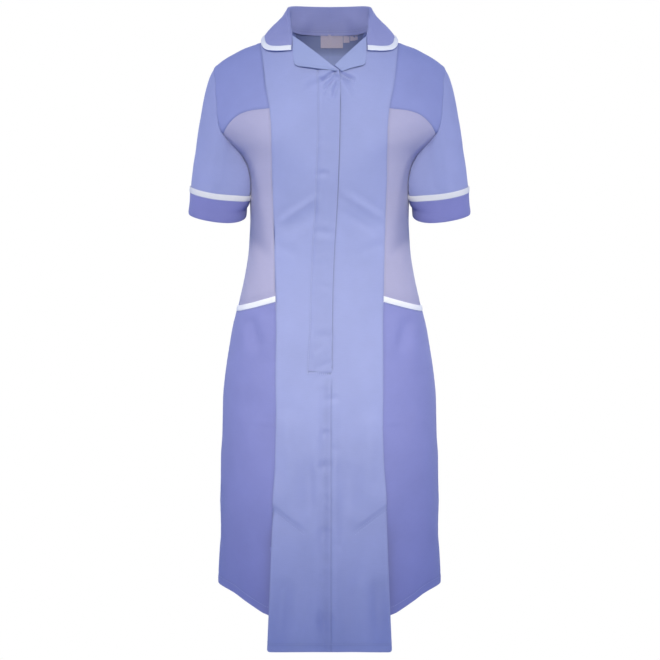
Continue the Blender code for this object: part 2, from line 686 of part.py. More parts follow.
def collar_profile(along, steps):
    """The collar's shown face at one place along it: up the stand, over the fold, down to the outer edge."""
    side = np.sign(along) if along else 1
    value = {name: float(COLLAR(name, abs(along))) for name in COLLAR.names}
    seam = np.array([value["seam_x"], value["seam_y"], value["seam_z"] + GAP])
    fold = np.array([value["fold_x"], value["fold_y"], value["fold_z"]])
    edge = collar_edge(value)
    outwards = edge - fold
    outwards[2] = 0
    outwards /= np.linalg.norm(outwards)
    up = np.array([0, 0, 1.0])
    radius = FOLD_RADIUS
    inside = fold - outwards * radius
    stand = [seam + (inside - seam) * t for t in np.linspace(0, 1, steps[0])]
    bend = [
        fold - outwards * radius * math.cos(a) + up * radius * math.sin(a)
        for a in np.linspace(0, math.pi, steps[1] + 2)[1:-1]
    ]
    start = fold + outwards * radius
    middle = (start + edge) / 2 + (outwards + up) * LEAF_BULGE * (0.4 + 0.6 * min(1, (1 - abs(along)) * 3))
    leaf = [
        start * (1 - t) ** 2 + middle * 2 * t * (1 - t) + edge * t * t
        for t in np.linspace(0, 1, steps[2])
    ]
    points = np.array(stand + bend + leaf)
    points[:, 0] *= side
    return points


def collar_edge(value):
    """The collar's outer edge, which lies just above the shoulders."""
    x = value["edge_x"]
    level = level_of(x, value["edge_z"])
    turn = turn_at(x, level)
    behind = value["back"] > 0
    spread = [(0, 0), (1.0, 0), (0, -1 * MM)]
    points = []
    for d_turn, d_level in spread:
        angle = turn + d_turn
        points.append(body(180 - angle if behind else angle, level + d_level))
    normal = np.cross(points[1] - points[0], points[2] - points[0])
    normal *= np.sign(normal @ (points[0] - np.array([0, 0, -0.12])))
    normal /= np.linalg.norm(normal)
    return points[0] + normal * (FACED + COLLAR_LIFT)


COLLAR_STEPS = (5, 3, 8)


def make_collar():
    stations = np.linspace(-1, 1, 41)
    grid = np.array([collar_profile(s, COLLAR_STEPS) for s in stations]).transpose(1, 0, 2)
    cloth("collar", grid, FACED, MATERIALS["cloth"])
    leaf = grid[-4:]
    length = np.linalg.norm(leaf[-1] - leaf[-2], axis=-1, keepdims=True)
    inner = leaf[-1] + (leaf[-2] - leaf[-1]) / length * PIPING_WIDTH
    strip = np.array([inner, leaf[-1]])
    cloth("collar_piping", moved_out(strip, np.full(strip.shape[:2], TRIM + GAP)), TRIM, MATERIALS["piping"])


def resampled(line, count):
    line = np.array(line, float)
    length = np.concatenate([[0], np.cumsum(np.linalg.norm(np.diff(line, axis=0), axis=1))])
    at = np.linspace(0, length[-1], count)
    return np.stack([np.interp(at, length, line[:, k]) for k in range(line.shape[1])], axis=-1)


def make_lapels():
    for name, side in (("right", -1), ("left", 1)):
        low = resampled(LAPEL_EDGE[name], 12)
        high = resampled([(side * LAPEL_TOP[0], LAPEL_TOP[1]), NECK_POINT[name]], 12)
        shares = np.linspace(0, 1, 5)[:, None, None]
        flat = low + (high - low) * shares
        points = front_face(flat[..., 0], level_of(flat[..., 0], flat[..., 1]))
        points[..., 2] = flat[..., 1]
        if side > 0:
            points = points[:, ::-1]
        lift = GAP + FACED + 0.8 * MM + (1.8 if side < 0 else 0) * MM * np.ones(points.shape[:2])
        lifted = points + np.array([0, -0.94, 0.34]) * lift[..., None]
        cloth("lapel_" + name, lifted, FACED, MATERIALS["cloth_facing"])


clear_scene()
COLLECTION = bpy.data.collections.new("nurse_dress")
bpy.context.scene.collection.children.link(COLLECTION)
MATERIALS = make_materials()
make_centre_fronts()
make_side_fronts()
make_backs()
make_pleats()
make_sleeves()
make_collar()
make_lapels()
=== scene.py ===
"""The dressed model of a nurse uniform dress: lilac-blue twill, white piping and stitched seams, filled out as worn.

Each piece of cloth is a fine grid bent to the garment's section functions. It then gets its seams, creases, waves
and a wall behind it. Metres, +Z up, the front towards -Y, as in the CAD.
"""

import math

import bpy
import numpy as np
from mathutils.bvhtree import BVHTree
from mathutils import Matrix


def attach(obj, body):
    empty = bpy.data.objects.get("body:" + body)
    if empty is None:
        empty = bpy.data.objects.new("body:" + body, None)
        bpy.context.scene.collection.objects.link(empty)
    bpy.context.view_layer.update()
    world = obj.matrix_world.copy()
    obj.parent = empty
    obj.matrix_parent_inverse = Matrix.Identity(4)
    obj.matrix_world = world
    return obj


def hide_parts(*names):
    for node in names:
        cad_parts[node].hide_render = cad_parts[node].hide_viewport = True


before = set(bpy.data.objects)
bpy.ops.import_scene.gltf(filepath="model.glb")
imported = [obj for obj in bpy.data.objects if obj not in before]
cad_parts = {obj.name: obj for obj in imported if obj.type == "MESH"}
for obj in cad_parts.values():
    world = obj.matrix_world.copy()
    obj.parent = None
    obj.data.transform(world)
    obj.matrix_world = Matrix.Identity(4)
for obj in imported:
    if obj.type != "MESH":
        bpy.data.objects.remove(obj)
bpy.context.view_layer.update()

MM = 0.001
SQUARENESS = 2.3

# Main levels, measured down from the neck
CHEST = -0.225
OPENING_END = -0.600
PLEAT_TOP = -0.830
BACK_HEM = -0.978
PLEAT_HEM = -1.003
FRONT_HEM = -1.0645
HEM_CORNER = 5 * MM
TURN_UP = 13 * MM

# Cloth
WALL = 1.2 * MM
CAD_WALL = 1.5 * MM
LAYER = 1.8 * MM
OVERLAP = 0.020
OVERLAP_LIFT = 2.0 * MM
PLACKET_STITCH = 0.0365

# Kick pleats
PLEAT_DEPTH = 0.050
PLEAT_FORWARD = 0.040
PLEAT_SLANT = 0.8
PLEAT_LAP = 0.006
PLEAT_INSIDE = 1.4 * MM

# Sleeves and piping
CUFF_HEIGHT = 0.044
PIPING_WIDTH = 0.0100
HEM_CENTRE = (0.199, -0.006, -0.331)
HEM_RADII = (0.0505, 0.062)
HEM_TILT = (0.140, 0.16)
SLEEVE_CLEAR = 1.4 * MM

# Collar
FOLD_RADIUS = 3.5 * MM
COLLAR_LIFT = 1.0 * MM
COLLAR_WALL = 2.0 * MM
LEAF_BULGE = 0.0035
STAND_BAND = 8 * MM

# Hip pockets
POCKET_INNER_Z = -0.4680
POCKET_OUTER_Z = -0.4870
POCKET_BOTTOM = -0.682

# Fullness over the bust: share of the front's depth, place (x, z) and reach
BUST_SHARE = 0.062
BUST_AT = (0.086, -0.198)
BUST_REACH = (0.050, 0.060)

# Labels inside the back of the neck: width, drop, left edge
LABELS = {
    "neck_label": (0.041, 0.0245, -0.0163),
    "size_tab_a": (0.0115, 0.0148, 0.0258),
    "size_tab_b": (0.0138, 0.0118, 0.0388),
}


class Table:
    """Rows of numbers with named columns, read as smooth lines that never overshoot their rows."""

    def __init__(self, columns, rows):
        self.names = columns.split()
        self.rows = np.array(sorted(rows), float)

    def __call__(self, name, at):
        keys = self.rows[:, 0]
        values = self.rows[:, self.names.index(name)]
        steps = np.diff(keys)
        slopes = np.diff(values) / steps
        ends = np.concatenate([slopes[:1], np.zeros(len(slopes) - 1), slopes[-1:]])
        before, after = slopes[:-1], slopes[1:]
        turning = before * after <= 0
        weight_a = 2 * steps[1:] + steps[:-1]
        weight_b = steps[1:] + 2 * steps[:-1]
        safe_before = np.where(turning, 1, before)
        safe_after = np.where(turning, 1, after)
        mean = (weight_a + weight_b) / (weight_a / safe_before + weight_b / safe_after)
        ends[1:-1] = np.where(turning, 0, mean)
        at = np.clip(np.asarray(at, float), keys[0], keys[-1])
        i = np.clip(np.searchsorted(keys, at) - 1, 0, len(steps) - 1)
        t = (at - keys[i]) / steps[i]
        rise = values[i] * (1 + 2 * t) * (1 - t) ** 2 + values[i + 1] * t * t * (3 - 2 * t)
        lean = ends[i] * t * (1 - t) ** 2 - ends[i + 1] * t * t * (1 - t)
        return rise + lean * steps[i]


# The garment's section at each level, as in the CAD: half its width, and its depth to the front and to the back
BODY = Table(
    "level half front back",
    [
        (0.000, 0.206, 0.000, 0.000), (-0.008, 0.209, 0.032, 0.032), (-0.024, 0.212, 0.055, 0.056),
        (-0.045, 0.214, 0.072, 0.073), (-0.080, 0.217, 0.091, 0.088), (-0.120, 0.217, 0.108, 0.099),
        (-0.160, 0.210, 0.122, 0.106), (-0.200, 0.182, 0.131, 0.109), (CHEST, 0.1585, 0.133, 0.109),
        (-0.245, 0.1475, 0.132, 0.108), (-0.270, 0.1420, 0.128, 0.106), (-0.300, 0.1410, 0.121, 0.102),
        (-0.350, 0.1400, 0.111, 0.099), (-0.400, 0.1440, 0.109, 0.102), (-0.460, 0.1550, 0.113, 0.110),
        (-0.540, 0.1740, 0.122, 0.122), (-0.620, 0.1860, 0.129, 0.131), (-0.714, 0.1920, 0.134, 0.135),
        (-0.850, 0.1955, 0.138, 0.138), (-1.060, 0.1990, 0.148, 0.145),
    ],
)
SHOULDER = Table(
    "x z",
    [(0, 0.062), (0.025, 0.054), (0.050, 0.028), (0.069, 0.004), (0.090, -0.010), (0.120, -0.0225),
     (0.160, -0.0395), (0.190, -0.0545), (0.212, -0.0740)],
)
FRONT_SEAMS = Table(
    "level princess edge",
    [
        (0.000, 0.1210, 0.0160), (-0.037, 0.1170, 0.0160), (-0.095, 0.1100, 0.0165), (-0.143, 0.1020, 0.0178),
        (-0.190, 0.0985, 0.0170), (-0.287, 0.0980, 0.0137), (-0.390, 0.0950, 0.0080), (-0.475, 0.0928, 0.0050),
        (OPENING_END, 0.0920, 0.0036), (-0.680, 0.0920, 0.0026), (PLEAT_TOP, 0.0970, 0.0026),
        (FRONT_HEM, 0.1052, 0.0026),
    ],
)
ARMHOLE = Table(
    "level front back",
    [(0, 83, 83), (-0.020, 73, 75), (-0.057, 66, 69), (-0.124, 63, 66), (-0.160, 64, 67), (-0.185, 69, 72),
     (-0.205, 76, 79), (CHEST, 90, 90)],
)
YOKE = Table("x z", [(0.095, -0.147), (0.102, -0.148), (0.130, -0.1505), (0.152, -0.1560), (0.172, -0.1700),
                     (0.188, -0.1950), (0.215, -0.240)])
NECK_RIGHT = Table("x z", [(-0.300, 0.100), (-0.074, 0.0300), (-0.0685, -0.0040), (-0.064, -0.0210),
                           (-0.030, -0.0505), (0.006, -0.0785), (0.018, -0.0895)])
NECK_LEFT = Table("x z", [(-0.010, -0.0825), (0.006, -0.0785), (0.030, -0.0560), (0.064, -0.0210),
                          (0.0685, -0.0040), (0.074, 0.0300), (0.300, 0.100)])
NECK_BACK = Table("x z", [(0.000, -0.0005), (0.030, -0.0010), (0.052, -0.0018), (0.064, -0.0015), (0.0690, -0.0005),
                          (0.074, 0.0300), (0.300, 0.100)])
HEM = Table("x z", [(0.090, -1.0165), (0.104, -1.0135), (0.128, -1.0020), (0.146, -0.9926), (0.164, -0.9850),
                    (0.180, -0.9805), (0.200, -0.9780)])
SLEEVE_START = Table(
    "turn x y z reach",
    [
        (0, 0.66, 0.00, -0.75, 0.115), (45, 0.42, -0.16, -0.88, 0.120), (90, 0.05, -0.34, -0.94, 0.100),
        (130, -0.45, -0.50, -0.74, 0.090), (180, -0.62, 0.00, -0.78, 0.105), (230, -0.40, 0.45, -0.80, 0.085),
        (270, 0.05, 0.34, -0.94, 0.100), (315, 0.42, 0.16, -0.88, 0.120), (360, 0.66, 0.00, -0.75, 0.115),
    ],
)
COLLAR = Table(
    "along seam_x seam_y seam_z fold_x fold_y fold_z edge_x edge_z back",
    [
        (0.00, 0.0000, 0.0742, 0.0010, 0.0000, 0.0800, 0.0490, 0.0000, -0.0280, 1),
        (0.18, 0.0262, 0.0692, 0.0006, 0.0280, 0.0745, 0.0485, 0.0420, -0.0285, 1),
        (0.36, 0.0524, 0.0498, 0.0000, 0.0565, 0.0560, 0.0465, 0.0830, -0.0290, 1),
        (0.52, 0.0668, 0.0222, 0.0015, 0.0722, 0.0280, 0.0405, 0.1085, -0.0280, 1),
        (0.66, 0.0690, -0.0060, 0.0035, 0.0738, -0.0020, 0.0265, 0.1190, -0.0218, 0),
        (0.76, 0.0688, -0.0240, -0.0020, 0.0702, -0.0230, 0.0080, 0.1165, -0.0365, -1),
        (0.85, 0.0680, -0.0370, -0.0080, 0.0688, -0.0370, -0.0050, 0.1060, -0.0455, -1),
        (0.93, 0.0665, -0.0480, -0.0135, 0.0668, -0.0485, -0.0130, 0.0850, -0.0480, -1),
        (1.00, 0.0645, -0.0570, -0.0205, 0.0648, -0.0585, -0.0200, 0.0640, -0.0480, -1),
    ],
)
LAPEL_EDGE = {
    "right": [(-0.0612, -0.0680), (-0.0590, -0.0750), (-0.0535, -0.0780), (-0.0250, -0.0825), (0.0150, -0.0880)],
    "left": [(0.0622, -0.0665), (0.0610, -0.0725), (0.0570, -0.0755), (0.0400, -0.0800), (0.0205, -0.0872)],
}
LAPEL_TOP = (0.0640, -0.0210)
NECK_POINT = {"right": (0.0060, -0.0790), "left": (0.0085, -0.0770)}

# Creases of the front and of the back, drawn over the section: two ends, width and height in mm
FRONT_CREASES = [
    # pulled lines below the neck point
    (0.0093, -0.0873, -0.0127, -0.1013, 2.6, -3.4), (0.0100, -0.0935, -0.0060, -0.1152, 2.8, -2.6),
    (0.0110, -0.0900, -0.0100, -0.0975, 2.2, 1.5), (0.0050, -0.1000, -0.0060, -0.1230, 3.0, 1.4),
    (0.0144, -0.0960, 0.0060, -0.1300, 2.6, -1.8), (0.0190, -0.0890, 0.0400, -0.0985, 2.6, -2.8),
    (0.0230, -0.0960, 0.0400, -0.1065, 2.6, 1.0), (0.0262, -0.1020, 0.0360, -0.1230, 3.2, -1.1),
    (-0.0100, -0.0930, -0.0400, -0.1030, 4.0, 0.9), (-0.0080, -0.1000, -0.0420, -0.1180, 5.0, -0.8),
    # raised lines under the bust, meeting at the opening
    (-0.0795, -0.3377, -0.0240, -0.3010, 5.5, 0.9), (0.0260, -0.2945, 0.0864, -0.3325, 5.5, 0.9),
    (-0.0700, -0.3560, -0.0250, -0.3270, 8.0, -0.7), (0.0220, -0.3230, 0.0740, -0.3540, 8.0, -0.7),
    # dents along the placket
    (-0.0180, -0.2608, -0.0060, -0.2600, 4.5, -1.2), (-0.0205, -0.3582, -0.0010, -0.3600, 6.0, -1.2),
    (-0.0196, -0.5349, -0.0025, -0.5345, 6.0, -1.1), (-0.0170, -0.4500, -0.0040, -0.4520, 5.0, -0.6),
    (-0.0150, -0.2050, -0.0010, -0.2070, 6.0, -0.6), (-0.0180, -0.4050, -0.0050, -0.4000, 5.0, 0.5),
    (-0.0250, -0.5900, -0.0020, -0.5800, 4.5, -1.0), (-0.0220, -0.5700, -0.0060, -0.5560, 4.5, 0.8),
    # shallow channel beside the centre seam, with dents where the seam draws the cloth in
    (-0.0090, -0.6300, -0.0100, -1.0500, 7.0, -1.6), (-0.0110, -0.7573, -0.0060, -0.7560, 7.0, -2.2),
    (-0.0110, -0.8701, -0.0060, -0.8690, 7.0, -2.0), (-0.0130, -1.0159, -0.0060, -1.0150, 11.0, -3.2),
    (-0.0090, -0.6431, 0.0090, -0.6400, 5.0, -0.9), (-0.0085, -0.7010, -0.0040, -0.7000, 5.0, -1.3),
    (-0.0085, -0.8120, -0.0040, -0.8110, 5.5, -1.2), (-0.0095, -0.9400, -0.0040, -0.9390, 6.0, -1.5),
    (0.0080, -0.7280, 0.0140, -0.7280, 5.0, -0.8), (0.0080, -0.8900, 0.0150, -0.8920, 6.0, -0.9),
    (0.0120, -0.6500, 0.0130, -1.0400, 5.0, 0.7), (-0.0280, -0.9800, -0.0200, -1.0300, 7.0, 1.3),
    # soft folds below the pockets, and the lower edge of each pocket bag
    (-0.1374, -0.5180, -0.1300, -0.5500, 9.0, -1.8), (0.1338, -0.5180, 0.1260, -0.5500, 9.0, -1.8),
    (-0.1130, -0.5150, -0.1080, -0.5600, 9.0, 1.1), (0.1100, -0.5150, 0.1060, -0.5600, 9.0, 1.1),
    (-0.1480, -0.5300, -0.1500, -0.5900, 9.0, 0.9), (0.1480, -0.5300, 0.1500, -0.5900, 9.0, 0.9),
    (-0.1300, -0.6840, -0.0960, -0.6820, 3.5, 0.35), (0.0960, -0.6830, 0.1300, -0.6850, 3.5, 0.35),
    (-0.1280, -0.6930, -0.0970, -0.6910, 5.0, -0.30), (0.0970, -0.6920, 0.1280, -0.6940, 5.0, -0.30),
    # hollows at the sides of the lower front panel
    (-0.0787, -0.9650, -0.0850, -1.0380, 12.0, -3.2), (0.0821, -0.9650, 0.0860, -1.0380, 12.0, -3.2),
    (-0.0520, -0.9700, -0.0480, -1.0400, 13.0, 2.4), (0.0500, -0.9600, 0.0470, -1.0400, 13.0, 2.4),
    (-0.0700, -0.6900, -0.0660, -0.8000, 14.0, 2.4), (0.0680, -0.6900, 0.0650, -0.8000, 14.0, 2.4),
    (-0.0350, -0.7600, -0.0330, -0.8500, 13.0, -2.2), (0.0330, -0.7700, 0.0350, -0.8500, 13.0, -2.2),
    (-0.0400, -0.9000, -0.0250, -0.9500, 11.0, -1.2), (0.0420, -0.9000, 0.0300, -0.9600, 11.0, -1.2),
    # the hollow under the bust
    (-0.1050, -0.2950, -0.1350, -0.2900, 18.0, -0.7), (0.1050, -0.2950, 0.1350, -0.2900, 18.0, -0.7),
    # drag lines from the bust to the armhole, and across the waist
    (-0.1250, -0.1900, -0.1620, -0.1780, 7.0, -0.4), (0.1250, -0.1900, 0.1620, -0.1780, 7.0, -0.4),
    (-0.1150, -0.3950, -0.1300, -0.3750, 8.0, -0.8), (0.1150, -0.3950, 0.1300, -0.3750, 8.0, -0.8),
    (-0.0600, -0.3950, -0.0850, -0.3850, 7.0, -0.5), (0.0500, -0.3950, 0.0850, -0.3800, 7.0, -0.6),
    (-0.1500, -0.9200, -0.1400, -0.9700, 16.0, 1.2), (0.1500, -0.9200, 0.1400, -0.9700, 16.0, 1.2),
]
BACK_CREASES = [
    (-0.1100, -0.1300, -0.0700, -0.1750, 9.0, -1.2), (0.1100, -0.1300, 0.0700, -0.1750, 9.0, -1.2),
    (-0.1050, -0.3300, -0.0450, -0.3450, 8.0, -1.2), (0.1050, -0.3300, 0.0450, -0.3450, 8.0, -1.2),
    (-0.0900, -0.3700, -0.0200, -0.3620, 7.0, 1.0), (0.0900, -0.3700, 0.0200, -0.3620, 7.0, 1.0),
    (-0.1100, -0.4050, -0.0500, -0.3950, 9.0, -0.9), (0.1100, -0.4050, 0.0500, -0.3950, 9.0, -0.9),
    (-0.0600, -0.7000, -0.0500, -0.9500, 20.0, 2.2), (0.0600, -0.7000, 0.0500, -0.9500, 20.0, 2.2),
    (-0.1150, -0.6500, -0.1250, -0.9500, 22.0, -2.0), (0.1150, -0.6500, 0.1250, -0.9500, 22.0, -2.0),
]
# Soft waves of the cloth: lengths along x, y and z in metres, height in mm, phase
WAVES = [
    (0.115, 0.190, 0.430, 0.60, 0.3), (-0.083, 0.140, 0.290, 0.38, 1.9), (0.210, -0.160, -0.175, 0.55, 4.1),
    (0.061, 0.110, -0.130, 0.16, 2.6), (-0.130, -0.090, 0.092, 0.20, 5.2), (0.047, -0.060, 0.210, 0.12, 0.9),
    (0.038, 0.070, -0.150, 0.12, 1.2), (-0.052, 0.045, 0.066, 0.10, 3.3), (0.090, -0.080, 0.050, 0.10, 0.4),
]


def power(value, exponent):
    return np.sign(value) * np.abs(value) ** exponent


def ramp(value, start, end):
    """0 before start, 1 past end, and a smooth step between."""
    t = np.clip((value - start) / (end - start), 0, 1)
    return t * t * (3 - 2 * t)


def hump(value, width):
    return np.exp(-((value / width) ** 2))


SQUARED = Table("level front back", [(r[0], r[2] ** 2, r[3] ** 2) for r in BODY.rows])


def depth_of(column, level):
    return np.sqrt(np.maximum(SQUARED(column, level), 0))


def height_of(x, level):
    share = np.clip(1 - level / CHEST, 0, 1)
    return np.where(level < CHEST, level, CHEST + share * (SHOULDER("z", np.abs(x)) - CHEST))


def level_of(x, z):
    share = np.maximum((z - CHEST) / (SHOULDER("z", np.abs(x)) - CHEST), 0)
    return np.where(z < CHEST, z, CHEST * (1 - np.minimum(share, 1)))


def swell(x, z):
    across = (np.abs(x) - BUST_AT[0]) / BUST_REACH[0]
    up = (z - BUST_AT[1]) / BUST_REACH[1]
    return 1 + BUST_SHARE * np.exp(-(across**2) - up**2)


def body(turn, level):
    """The cloth's outer face. turn runs from 0 at the centre front, by the wearer's left, to 180 behind."""
    angle = np.radians(turn)
    x = BODY("half", level) * power(np.sin(angle), 2 / SQUARENESS)
    z = height_of(x, level)
    depth = np.where(np.cos(angle) > 0, depth_of("front", level) * swell(x, z), depth_of("back", level))
    return np.stack([x, -depth * power(np.cos(angle), 2 / SQUARENESS), z], axis=-1)


def turn_at(x, level):
    share = np.clip(np.abs(x) / BODY("half", level), 0, 1)
    return np.degrees(np.arcsin(share ** (SQUARENESS / 2))) * np.sign(x)


def front_face(x, level):
    half = BODY("half", level)
    share = np.maximum(1 - np.minimum(np.abs(x) / half, 1) ** SQUARENESS, 0)
    x = x + 0 * share
    z = height_of(x, level)
    return np.stack([x, -depth_of("front", level) * share ** (1 / SQUARENESS) * swell(x, z), z], axis=-1)


def centre_face(x, level):
    """The centre front, whose lower part is flat and swings forward below the pleats' tops."""
    points = front_face(x, level)
    edge_y = front_face(FRONT_SEAMS("princess", level), level)[..., 1]
    flat = ramp(-level, 0.62, 1.0)
    forward = PLEAT_FORWARD * (np.maximum(PLEAT_TOP - level, 0) / (PLEAT_TOP - FRONT_HEM)) ** 1.25
    points[..., 1] += (edge_y - points[..., 1]) * flat - forward
    return points


def tangents(points):
    """Directions along the grid's rows of points, as of a parabola through each point and its neighbours."""
    steps = np.diff(points, axis=0)
    lengths = np.maximum(np.linalg.norm(steps, axis=-1, keepdims=True), 1e-12)
    ways = steps / lengths
    both = lengths[:-1] + lengths[1:]
    middle = (ways[:-1] * lengths[1:] + ways[1:] * lengths[:-1]) / both
    first = ways[:1] + (ways[:1] - ways[1:2]) * lengths[:1] / both[:1]
    last = ways[-1:] + (ways[-1:] - ways[-2:-1]) * lengths[-1:] / both[-1:]
    return np.concatenate([first, middle, last])


def grid_normals(points, ring=False):
    """Outward normals. Borders in the middle plane or the plane of the side seams keep theirs in that plane."""
    if ring:
        points = np.concatenate([points[:, -2:-1], points, points[:, 1:2]], axis=1)
    across = tangents(points.swapaxes(0, 1)).swapaxes(0, 1)
    normals = np.cross(across, tangents(points))
    if ring:
        normals = normals[:, 1:-1]
    else:
        for axis in (0, 1):
            normals[..., axis] *= np.abs(points[..., axis]) > 0.6 * MM
    return normals / np.maximum(np.linalg.norm(normals, axis=-1, keepdims=True), 1e-12)


def lengths(points):
    """Length across and along a grid at each of its points."""
    across = np.linalg.norm(np.diff(points, axis=1), axis=-1)
    along = np.linalg.norm(np.diff(points, axis=0), axis=-1)
    u = np.concatenate([np.zeros((len(points), 1)), np.cumsum(across, axis=1)], axis=1)
    v = np.concatenate([np.zeros((1, points.shape[1])), np.cumsum(along, axis=0)])
    return u, v


def mirrored(points):
    return points[:, ::-1] * np.array([-1, 1, 1])


def spread(count, width, close=(1.2 * MM, 3 * MM)):
    """Shares across a piece: close together beside both seams, and even between."""
    near = np.array(close) / width
    return np.concatenate([[0], near, np.linspace(2 * near[-1], 1 - 2 * near[-1], count), 1 - near[::-1], [1]])


def panel(place, shares, rows, low, high, close=(1.2 * MM, 3 * MM), join=None):
    """A grid of cloth. place(share, level) gives a point; low and high give, from x, the heights it lies between.

    join is a height and a number of rows: below it the rows are level, and above it they fan out to the top.
    """
    fine = -1.07 * np.linspace(1, 0, 2400)[None, :] ** 2
    lines = place(shares[:, None], fine)
    near = np.array(close)
    grid = []
    for line in lines:
        x, z = line[:, 0], line[:, 2]
        over = np.where(z >= low(x))[0][0]
        past = np.where(z > high(x))[0]
        past = past[past > over]
        length = np.concatenate([[0], np.cumsum(np.linalg.norm(np.diff(line, axis=0), axis=1))])
        first, last = crossing(length, z - low(x), over), length[-1]
        if len(past):
            last = crossing(length, z - high(x), past[0])
        start, end = first + 2 * near[-1], last - 2 * near[-1]
        if join is None:
            even = np.linspace(start, end, rows)
        else:
            level = crossing(length, z - join[0], np.where(z > join[0])[0][0])
            even = np.concatenate([np.linspace(start, level, rows), np.linspace(level, end, join[1] + 1)[1:]])
        at = np.concatenate([[first], first + near, even, last - near[::-1], [last]])
        grid.append([np.interp(at, length, line[:, k]) for k in range(3)])
    return np.array(grid).transpose(2, 0, 1)


def crossing(length, value, index):
    """Length at which value passes 0 just before index."""
    if index == 0:
        return length[0]
    part = value[index - 1] / (value[index - 1] - value[index])
    return length[index - 1] + part * (length[index] - length[index - 1])


def everywhere(height):
    return lambda x: np.full_like(x, height)


def creases(points, normals):
    """Height of the drawn creases, on the front where the cloth faces forwards and on the back where it faces back."""
    height = np.zeros(points.shape[:-1])
    for rows, facing in ((FRONT_CREASES, -1), (BACK_CREASES, 1)):
        shown = ramp(normals[..., 1] * facing, 0.15, 0.45)
        if not shown.any():
            continue
        for x1, z1, x2, z2, width, rise in rows:
            way = np.array([x2 - x1, z2 - z1])
            from_start = points[..., [0, 2]] - np.array([x1, z1])
            t = np.clip(from_start @ way / (way @ way), 0, 1)
            away = np.linalg.norm(from_start - t[..., None] * way, axis=-1)
            taper = 0.45 + 0.55 * np.sin(math.pi * (0.15 + 0.7 * t))
            line = hump(away, width * MM) - 0.35 * hump(away - 2.2 * width * MM, width * MM)
            height += 1.9 * rise * MM * line * taper * shown
    return height


def waves(points):
    height = np.zeros(points.shape[:-1])
    for x, y, z, rise, phase in WAVES:
        turn = points[..., 0] / x + points[..., 1] / y + points[..., 2] / z
        height += rise * MM * np.sin(2 * math.pi * turn + phase)
    x, z = np.abs(points[..., 0]), points[..., 2]
    still = ramp(x, 0.115, 0.135) * ramp(-x, -0.200, -0.172) * ramp(-z, 0.17, 0.21) * ramp(z, -0.37, -0.33)
    return height * (1 + 0.5 * ramp(-z, 0.5, 0.95)) * (1 - still)


def seam_height(away, along):
    """Height beside a seam: its groove, the roll of the turned edges under it, and small puckers."""
    groove = -0.75 * MM * hump(away, 1.4 * MM) + 0.40 * MM * hump(away - 5 * MM, 3.4 * MM)
    beat = np.sin(along / (2.3 * MM) + 2.1 * np.sin(along / 0.031)) * (0.6 + 0.4 * np.sin(along / 0.053))
    return groove + 0.16 * MM * beat * np.exp(-away / (8 * MM))


def shaped(points, seams="", ring=False, depth=1.0, extra=None):
    """A grid with its cloth's relief: waves, creases and, at the borders named in seams, the seams.

    seams holds l, r, b and t for the left, right, bottom and top borders.
    """
    normals = grid_normals(points, ring)
    u, v = lengths(points)
    height = depth * (waves(points) + creases(points, normals))
    seam = np.zeros(points.shape[:-1])
    for letter, away, along in (
        ("l", u, v), ("r", u[:, -1:] - u, v), ("b", v, u), ("t", v[-1:] - v, u),
    ):
        if letter in seams:
            height += seam_height(away, along)
            # Each named seam paints shade along its groove.
            seam = np.maximum(seam, hump(away, 2.2 * MM))
    if extra is not None:
        more, painted_shade_marks = extra(points, u, v)
        height += more
        # The extra's marks are painted shade and painted shadows as well.
        seam = np.maximum(seam, painted_shade_marks)
    return points + normals * height[..., None], seam


class Value:
    """A shader socket that Python's operators work on."""

    def __init__(self, finish, socket):
        self.finish = finish
        self.socket = socket

    def maths(self, operation, *others):
        return self.finish.node("ShaderNodeMath", {"operation": operation}, self, *others)

    def __add__(self, other):
        return self.maths("ADD", other)

    def __mul__(self, other):
        return self.maths("MULTIPLY", other)

    def __sub__(self, other):
        return self.maths("SUBTRACT", other)

    def __rsub__(self, other):
        return self.finish.node("ShaderNodeMath", {"operation": "SUBTRACT"}, other, self)

    def __truediv__(self, other):
        return self.maths("DIVIDE", other)

    def __pow__(self, other):
        return self.maths("POWER", other)

    __radd__ = __add__
    __rmul__ = __mul__

    def sine(self):
        return self.maths("SINE")

    def within(self):
        """Kept between 0 and 1."""
        return self.finish.node("ShaderNodeClamp", {}, self)


class Finish:
    """A material and the nodes that make its look."""

    def __init__(self, name, **plain):
        self.material = bpy.data.materials.new(name)
        self.material.use_nodes = True
        self.nodes = self.material.node_tree.nodes
        self.links = self.material.node_tree.links
        self.shader = self.nodes["Principled BSDF"]
        for socket, value in plain.items():
            self.set(self.shader, socket.replace("_", " "), value)

    def set(self, node, socket, value):
        if isinstance(value, Value):
            self.links.new(value.socket, node.inputs[socket])
        else:
            node.inputs[socket].default_value = value

    def node(self, kind, settings, *values, output=0, **named):
        made = self.nodes.new(kind)
        for key, value in settings.items():
            if key == "stops":
                for stop, (position, shade) in zip(made.color_ramp.elements, value):
                    stop.position, stop.color = position, (shade, shade, shade, 1)
            else:
                setattr(made, key, value)
        for socket, value in [*enumerate(values), *named.items()]:
            self.set(made, socket, value)
        return Value(self, made.outputs[output])

    def blend(self, factor, first, second):
        """A colour between two others."""
        mix = self.nodes.new("ShaderNodeMix")
        mix.data_type = "RGBA"
        self.set(mix, 0, factor)
        self.set(mix, 6, first)
        self.set(mix, 7, second)
        return Value(self, mix.outputs[2])

    def shows(self, **looks):
        for socket, value in looks.items():
            self.set(self.shader, socket.replace("_", " "), value)

    def bumped(self, height, distance, strength=1.0):
        bump = self.node("ShaderNodeBump", {}, Strength=strength, Distance=distance, Height=height)
        self.shows(Normal=bump)


def shade(colour, amount=1.0):
    return (*(min(1, channel * amount) for channel in colour), 1)


